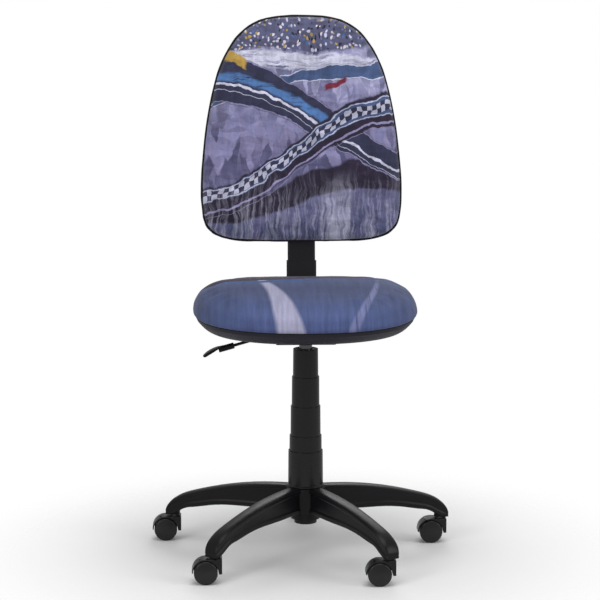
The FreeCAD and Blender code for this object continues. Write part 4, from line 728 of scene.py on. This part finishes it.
def new_shape_tree(name, wanted):
    """A geometry tree that grows a piece on a ring of edges, and its inputs as read inside it."""
    tree = bpy.data.node_groups.new(name, "GeometryNodeTree")
    name_inputs(tree, [("Geometry", "Geometry", None)] + wanted)
    tree.interface.new_socket("Geometry", in_out="OUTPUT", socket_type="NodeSocketGeometry")
    return tree, tree.nodes.new("NodeGroupInput").outputs


def finish_shape(tree, shape, material):
    """Makes what the tree has set out real, gives it its material and hands it over."""
    real = put(tree, "GeometryNodeRealizeInstances", {"Geometry": shape})
    clad = put(tree, "GeometryNodeSetMaterial", {"Geometry": real.outputs[0], "Material": material})
    put(tree, "NodeGroupOutput", {"Geometry": clad.outputs[0]})


def make_welt_nodes():
    """Sweeps a round cord along a ring of edges."""
    tree, given = new_shape_tree("welt_along_rim", [
        ("Radius", "Float", 0.0016), ("Spacing", "Float", 0.006), ("Sides", "Int", 10),
        ("Cover", "Material", None)])
    path = put(tree, "GeometryNodeMeshToCurve", {"Mesh": given["Geometry"]})
    smooth = put(tree, "GeometryNodeCurveSplineType", {"Curve": path.outputs[0]},
                 spline_type="CATMULL_ROM")
    even = put(tree, "GeometryNodeResampleCurve", {"Curve": smooth.outputs[0],
                                                   "Length": given["Spacing"]}, mode="LENGTH")
    section = put(tree, "GeometryNodeCurvePrimitiveCircle", {"Resolution": given["Sides"],
                                                             "Radius": given["Radius"]})
    cord = put(tree, "GeometryNodeCurveToMesh", {"Curve": even.outputs[0],
                                                 "Profile Curve": section.outputs[0]})
    finish_shape(tree, cord.outputs[0], given["Cover"])
    return tree


welt_nodes = make_welt_nodes()


def grown(piece, tree, **sizes):
    """Runs a node tree on a piece with the given inputs, and leaves the plain mesh it makes."""
    made = piece.modifiers.new(tree.name, "NODES")
    made.node_group = tree
    for socket in tree.interface.items_tree:
        label = socket.name.lower().replace(" ", "_")
        if socket.in_out == "INPUT" and label in sizes:
            made[socket.identifier] = sizes[label]
    baked(piece)
    smooth_by_angle(piece, 40)
    return piece


def cord_cloth():
    material, tree, shader, place = cloth_base("welt_cloth")
    cloud = noise(tree, place, scale=180.0, detail=4.0)
    tone = blend_colour(tree, cloud, (0.006, 0.006, 0.008, 1), (0.016, 0.016, 0.020, 1))
    finish_cloth(tree, shader, place, tone)
    return material


welt_cloth = cord_cloth()
already_level = Matrix.Identity(4)
# painted shade: the black cord stands for the shadow in the gap between the cloth and the pan
seat_welt = rim_ring("seat_shell", "seat_welt", already_level, high=0.0008, inward=0.0002)
grown(seat_welt, welt_nodes, radius=0.0016, spacing=0.006, sides=10, cover=welt_cloth)
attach(seat_welt, "seat")


# Staples: zinc-plated wire, shot through the turned hem of the cloth into the underside of
# the seat board, a finger's width apart, hidden by the pan.
def make_staple_nodes():
    """Sets wire crowns along a ring of edges, each laid along the ring."""
    tree, given = new_shape_tree("staples_along_hem", [
        ("Spacing", "Float", 0.030), ("Crown", "Float", 0.010), ("Wire", "Float", 0.0005),
        ("Slant", "Float", 0.2), ("Seed", "Int", 3), ("Metal", "Material", None)])
    path = put(tree, "GeometryNodeMeshToCurve", {"Mesh": given["Geometry"]})
    even = put(tree, "GeometryNodeResampleCurve", {"Curve": path.outputs[0],
                                                   "Length": given["Spacing"]}, mode="LENGTH")
    tangent = put(tree, "GeometryNodeInputTangent")
    along = put(tree, "FunctionNodeAlignRotationToVector", {"Vector": tangent.outputs[0]}, axis="Z")
    crown = put(tree, "GeometryNodeMeshCylinder", {"Vertices": 6, "Radius": given["Wire"],
                                                   "Depth": given["Crown"]})
    most = put(tree, "ShaderNodeCombineXYZ", {0: given["Slant"], 1: given["Slant"]})
    slant = put(tree, "FunctionNodeRandomValue", {"Min": (0.0, 0.0, 0.0), "Max": most.outputs[0],
                                                  "Seed": given["Seed"]}, data_type="FLOAT_VECTOR")
    set_out = put(tree, "GeometryNodeInstanceOnPoints", {"Points": even.outputs[0],
                                                         "Instance": crown.outputs["Mesh"],
                                                         "Rotation": along.outputs[0]})
    turned = put(tree, "GeometryNodeRotateInstances", {"Instances": set_out.outputs[0],
                                                       "Rotation": slant.outputs[0]})
    finish_shape(tree, turned.outputs[0], given["Metal"])
    return tree


staple_wire = 0.0005
hem_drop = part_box("seat_board")[0].z - staple_wire
seat_staples = rim_ring("seat_board", "seat_staples", already_level, high=0.0, inward=0.009)
for vertex in seat_staples.data.vertices:
    vertex.co.z = hem_drop
grown(seat_staples, make_staple_nodes(), spacing=0.030, crown=0.010, wire=staple_wire, slant=0.2,
      seed=3, metal=zinc)
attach(seat_staples, "seat")


# Back cushion: foam on a curved board, under the same cloth with a livelier print. It is
# thin at the rim and crowned, and its edge tucks into the dark rim of the shell.
back_foot = Vector((0, 0.252, 0.642))
back_lean = math.radians(6.5)
back_upright = Matrix.Rotation(back_lean, 4, "X") @ Matrix.Translation(-back_foot)
back_cushion = remeshed("back_pad", "back_cushion", scale=(0.999, 1.0, 0.999), voxel=cushion_voxel)
bow_height, bow_width = 0.092, 7.0
board_face, glued_depth = -0.018, 0.008


def on_back_board(point):
    """Says whether a point of the cushion is close to the bowed board that it is glued to."""
    level = back_upright @ point
    bow = (level.z - bow_height) ** 2 / bow_width
    return level.y > board_face + bow - glued_depth


puffed(back_cushion, on_back_board, cap=0.004, pressure=4.0)
eased(back_cushion, passes=5)


def add_dabs(tree, printed, across, up, size, zone):
    """Short dabs of paint in mixed tints, strewn over the zone of the print."""
    spread = put(tree, "ShaderNodeCombineXYZ", {0: across, 1: sums(tree, "MULTIPLY", up, 0.8)})
    cells = put(tree, "ShaderNodeTexVoronoi", {"Vector": spread.outputs[0], "Scale": 1 / size})
    draw_of = put(tree, "ShaderNodeSeparateColor", {0: cells.outputs["Color"]}).outputs
    tint = ramp(tree, draw_of[0], [
        (0.0, colour_of(40, 36, 56)), (0.26, colour_of(198, 196, 222)),
        (0.50, colour_of(120, 122, 160)), (0.62, colour_of(214, 206, 214)),
        (0.80, colour_of(74, 104, 158)), (0.92, colour_of(178, 148, 74))], "CONSTANT")
    dab = mapped(tree, cells.outputs["Distance"], 0.50, 0.36)
    wanted = sums(tree, "GREATER_THAN", draw_of[1], 0.32)
    mask = sums(tree, "MULTIPLY", sums(tree, "MULTIPLY", dab, wanted), zone)
    return blend_colour(tree, mask, printed, tint)


def add_chequer(tree, printed, band, half_width, dark, light, soft=0.0004):
    """A painted chequer along the middle of a ribbon."""
    cells = put(tree, "ShaderNodeCombineXYZ", {0: band["Along"], 1: band["Side"]})
    squares = put(tree, "ShaderNodeTexChecker", {"Vector": cells.outputs[0], "Scale": 92.0})
    inside = mapped(tree, sums(tree, "ABSOLUTE", band["Side"]), half_width - soft, half_width + soft,
                    1.0, 0.0)
    chequer = blend_colour(tree, squares.outputs["Fac"], dark, light)
    mask = sums(tree, "MULTIPLY", sums(tree, "MULTIPLY", inside, band["Fill"]), 0.8)
    return blend_colour(tree, mask, printed, chequer)


def painted(tree, across, up, size, stretch):
    """Overlapping brush dabs, each a little lighter or darker than the next."""
    spread = put(tree, "ShaderNodeCombineXYZ", {0: across, 1: sums(tree, "MULTIPLY", up, stretch)})
    cells = put(tree, "ShaderNodeTexVoronoi", {"Vector": spread.outputs[0], "Scale": 1 / size,
                                               "Smoothness": 0.25}, feature="SMOOTH_F1")
    return put(tree, "ShaderNodeSeparateColor", {0: cells.outputs["Color"]}).outputs[0]


def back_print():
    """The cloth of the back. Across and up are measured along its face, from its foot."""
    material, tree, shader, place = cloth_base("back_print")
    moved = put(tree, "ShaderNodeVectorMath", {0: place, 1: back_foot}, operation="SUBTRACT")
    level = put(tree, "ShaderNodeVectorRotate", {"Vector": moved.outputs[0], "Angle": back_lean},
                rotation_type="X_AXIS").outputs[0]
    parts = put(tree, "ShaderNodeSeparateXYZ", {0: level}).outputs
    wobble = put(tree, "ShaderNodeTexNoise", {"Vector": level, "Scale": 22.0, "Detail": 5.0}).outputs
    swayed = put(tree, "ShaderNodeSeparateColor", {0: wobble["Color"]}).outputs
    sway = 0.030
    across = sums(tree, "MULTIPLY_ADD", sums(tree, "SUBTRACT", swayed[0], 0.5), sway, parts[0])
    up = sums(tree, "MULTIPLY_ADD", sums(tree, "SUBTRACT", swayed[1], 0.5), sway, parts[2])
    upright = brush_streaks(tree, across, up, fine=120.0, long=9.0)
    level_marks = brush_streaks(tree, up, across, fine=130.0, long=12.0)
    broad = brush_streaks(tree, across, up, fine=16.0, long=4.0)
    tall_dabs = painted(tree, across, up, size=0.016, stretch=0.35)
    flat_dabs = painted(tree, across, up, size=0.030, stretch=2.6)
    shift = sums(tree, "ADD", sums(tree, "MULTIPLY", up, 1.98),
                 sums(tree, "MULTIPLY", sums(tree, "SUBTRACT", tall_dabs, 0.5), 0.30))
    ground = ramp(tree, shift, [
        (0.0, colour_of(86, 92, 128)), (0.14, colour_of(110, 108, 146)),
        (0.30, colour_of(88, 86, 122)), (0.46, colour_of(142, 138, 178)),
        (0.62, colour_of(120, 120, 160)), (0.76, colour_of(168, 166, 202)),
        (0.90, colour_of(96, 98, 130))])
    navy, ink = colour_of(52, 54, 80), colour_of(46, 38, 58)
    slate, steel_blue = colour_of(70, 88, 128), colour_of(84, 124, 182)
    pale, lavender = colour_of(208, 208, 230), colour_of(150, 144, 184)
    dusk, ochre, wine = colour_of(84, 86, 116), colour_of(190, 156, 76), colour_of(118, 42, 62)
    sweep = {"slope": -0.34, "swing": 0.036, "waves": 9.0, "phase": 2.5}
    climb = {"slope": 0.44, "swing": 0.024, "waves": 13.0, "phase": 0.2}
    printed, _ = add_ribbon(
        tree, ground, across, up, pale, streak=level_marks, dry=0.44, level=0.395, slope=-0.16,
        swing=0.014, waves=9.0, phase=0.3, half_width=0.020, soft=0.005)
    printed, _ = add_ribbon(
        tree, printed, across, up, slate, pale, streak=broad, dry=0.25, level=0.352, slope=0.22,
        swing=0.016, waves=12.0, phase=1.9, half_width=0.015, taper=0.03, soft=0.004)
    printed, _ = add_ribbon(
        tree, printed, across, up, ink, streak=broad, dry=0.34, level=0.108, slope=0.14,
        swing=0.024, waves=11.0, phase=0.4, half_width=0.030, taper=0.04, soft=0.006)
    printed, _ = add_ribbon(
        tree, printed, across, up, navy, lavender, level=0.272, half_width=0.044, taper=-0.06,
        soft=0.003, **sweep)
    printed, _ = add_ribbon(
        tree, printed, across, up, steel_blue, streak=level_marks, dry=0.42, level=0.280,
        half_width=0.013, soft=0.006, end=0.07, **sweep)
    for rise, width in ((0.262, 0.0035), (0.247, 0.0012)):
        printed, _ = add_ribbon(
            tree, printed, across, up, pale, streak=level_marks, dry=0.36, level=rise,
            half_width=width, soft=0.0012, **sweep)
    printed, _ = add_ribbon(
        tree, printed, across, up, ink, level=0.196, half_width=0.036, taper=0.03, soft=0.004, **climb)
    printed, check = add_ribbon(
        tree, printed, across, up, slate, pale, level=0.206, half_width=0.019, taper=0.02, **climb)
    printed = add_chequer(tree, printed, check, half_width=0.0105, dark=ink, light=pale)
    for rise, width in ((0.168, 0.0030), (0.157, 0.0011)):
        printed, _ = add_ribbon(
            tree, printed, across, up, lavender, streak=level_marks, dry=0.34, level=rise,
            half_width=width, soft=0.0012, **climb)
    printed, night = add_ribbon(
        tree, printed, across, up, dusk, level=0.462, slope=0.12, swing=0.014, waves=14.0,
        phase=3.4, half_width=0.042, soft=0.008)
    printed = add_dabs(tree, printed, across, up, size=0.0066, zone=night["Fill"])
    printed, _ = add_ribbon(
        tree, printed, across, up, ochre, streak=upright, dry=0.36, level=0.330, slope=-0.50,
        swing=0.0, half_width=0.012, soft=0.003, start=-0.170, end=-0.118)
    printed, _ = add_ribbon(
        tree, printed, across, up, wine, streak=broad, dry=0.30, level=0.318, slope=0.30,
        swing=0.010, waves=18.0, half_width=0.007, soft=0.003, start=0.05, end=0.105)
    # painted sheen: a pale reflection of light at the foot of the back, laid on as brush streaks,
    # thickest beside one line
    sheen_line = 0.078
    beside = sums(tree, "ABSOLUTE", sums(tree, "SUBTRACT", across, sheen_line))
    painted_sheen_glow = mapped(tree, beside, 0.004, 0.046, 0.17, 0.0, how="SMOOTHSTEP")
    low = mapped(tree, up, 0.02, 0.16, 0.85, 0.0)
    painted_sheen_streaks = mapped(tree, sums(tree, "ADD", upright, painted_sheen_glow), 0.47, 0.70)
    # painted highlight: the pale tint here is the sheen of light, not part of the print
    printed = blend_colour(tree, sums(tree, "MULTIPLY", low, painted_sheen_streaks), printed, pale)
    mixed = sums(tree, "MULTIPLY_ADD", upright, 0.6, sums(tree, "MULTIPLY", level_marks, 0.4))
    strokes = sums(tree, "MULTIPLY_ADD", flat_dabs, 0.55, sums(tree, "MULTIPLY", tall_dabs, 0.35))
    marks = sums(tree, "MULTIPLY_ADD", mixed, 1.3, sums(tree, "MULTIPLY_ADD", strokes, 0.75, 0.10))
    turned = put(tree, "ShaderNodeCombineXYZ", {0: parts[0], 1: parts[2], 2: parts[1]})
    finish_cloth(tree, shader, turned.outputs[0], scaled(tree, printed, marks))
    return material


back_cushion.data.materials.clear()
back_cushion.data.materials.append(back_print())
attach(back_cushion, "back")
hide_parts("back_pad")


# Back welt: a thicker cord in the same black cloth, sewn into the seam between the cloth of
# the back and the rim of its rear shell.
rear_up = Matrix.Rotation(math.radians(90), 4, "X") @ back_upright
back_welt = rim_ring("back_shell", "back_welt", rear_up, high=-0.0030, inward=0.0024)
grown(back_welt, welt_nodes, radius=0.0028, spacing=0.006, sides=12, cover=welt_cloth)
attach(back_welt, "back")
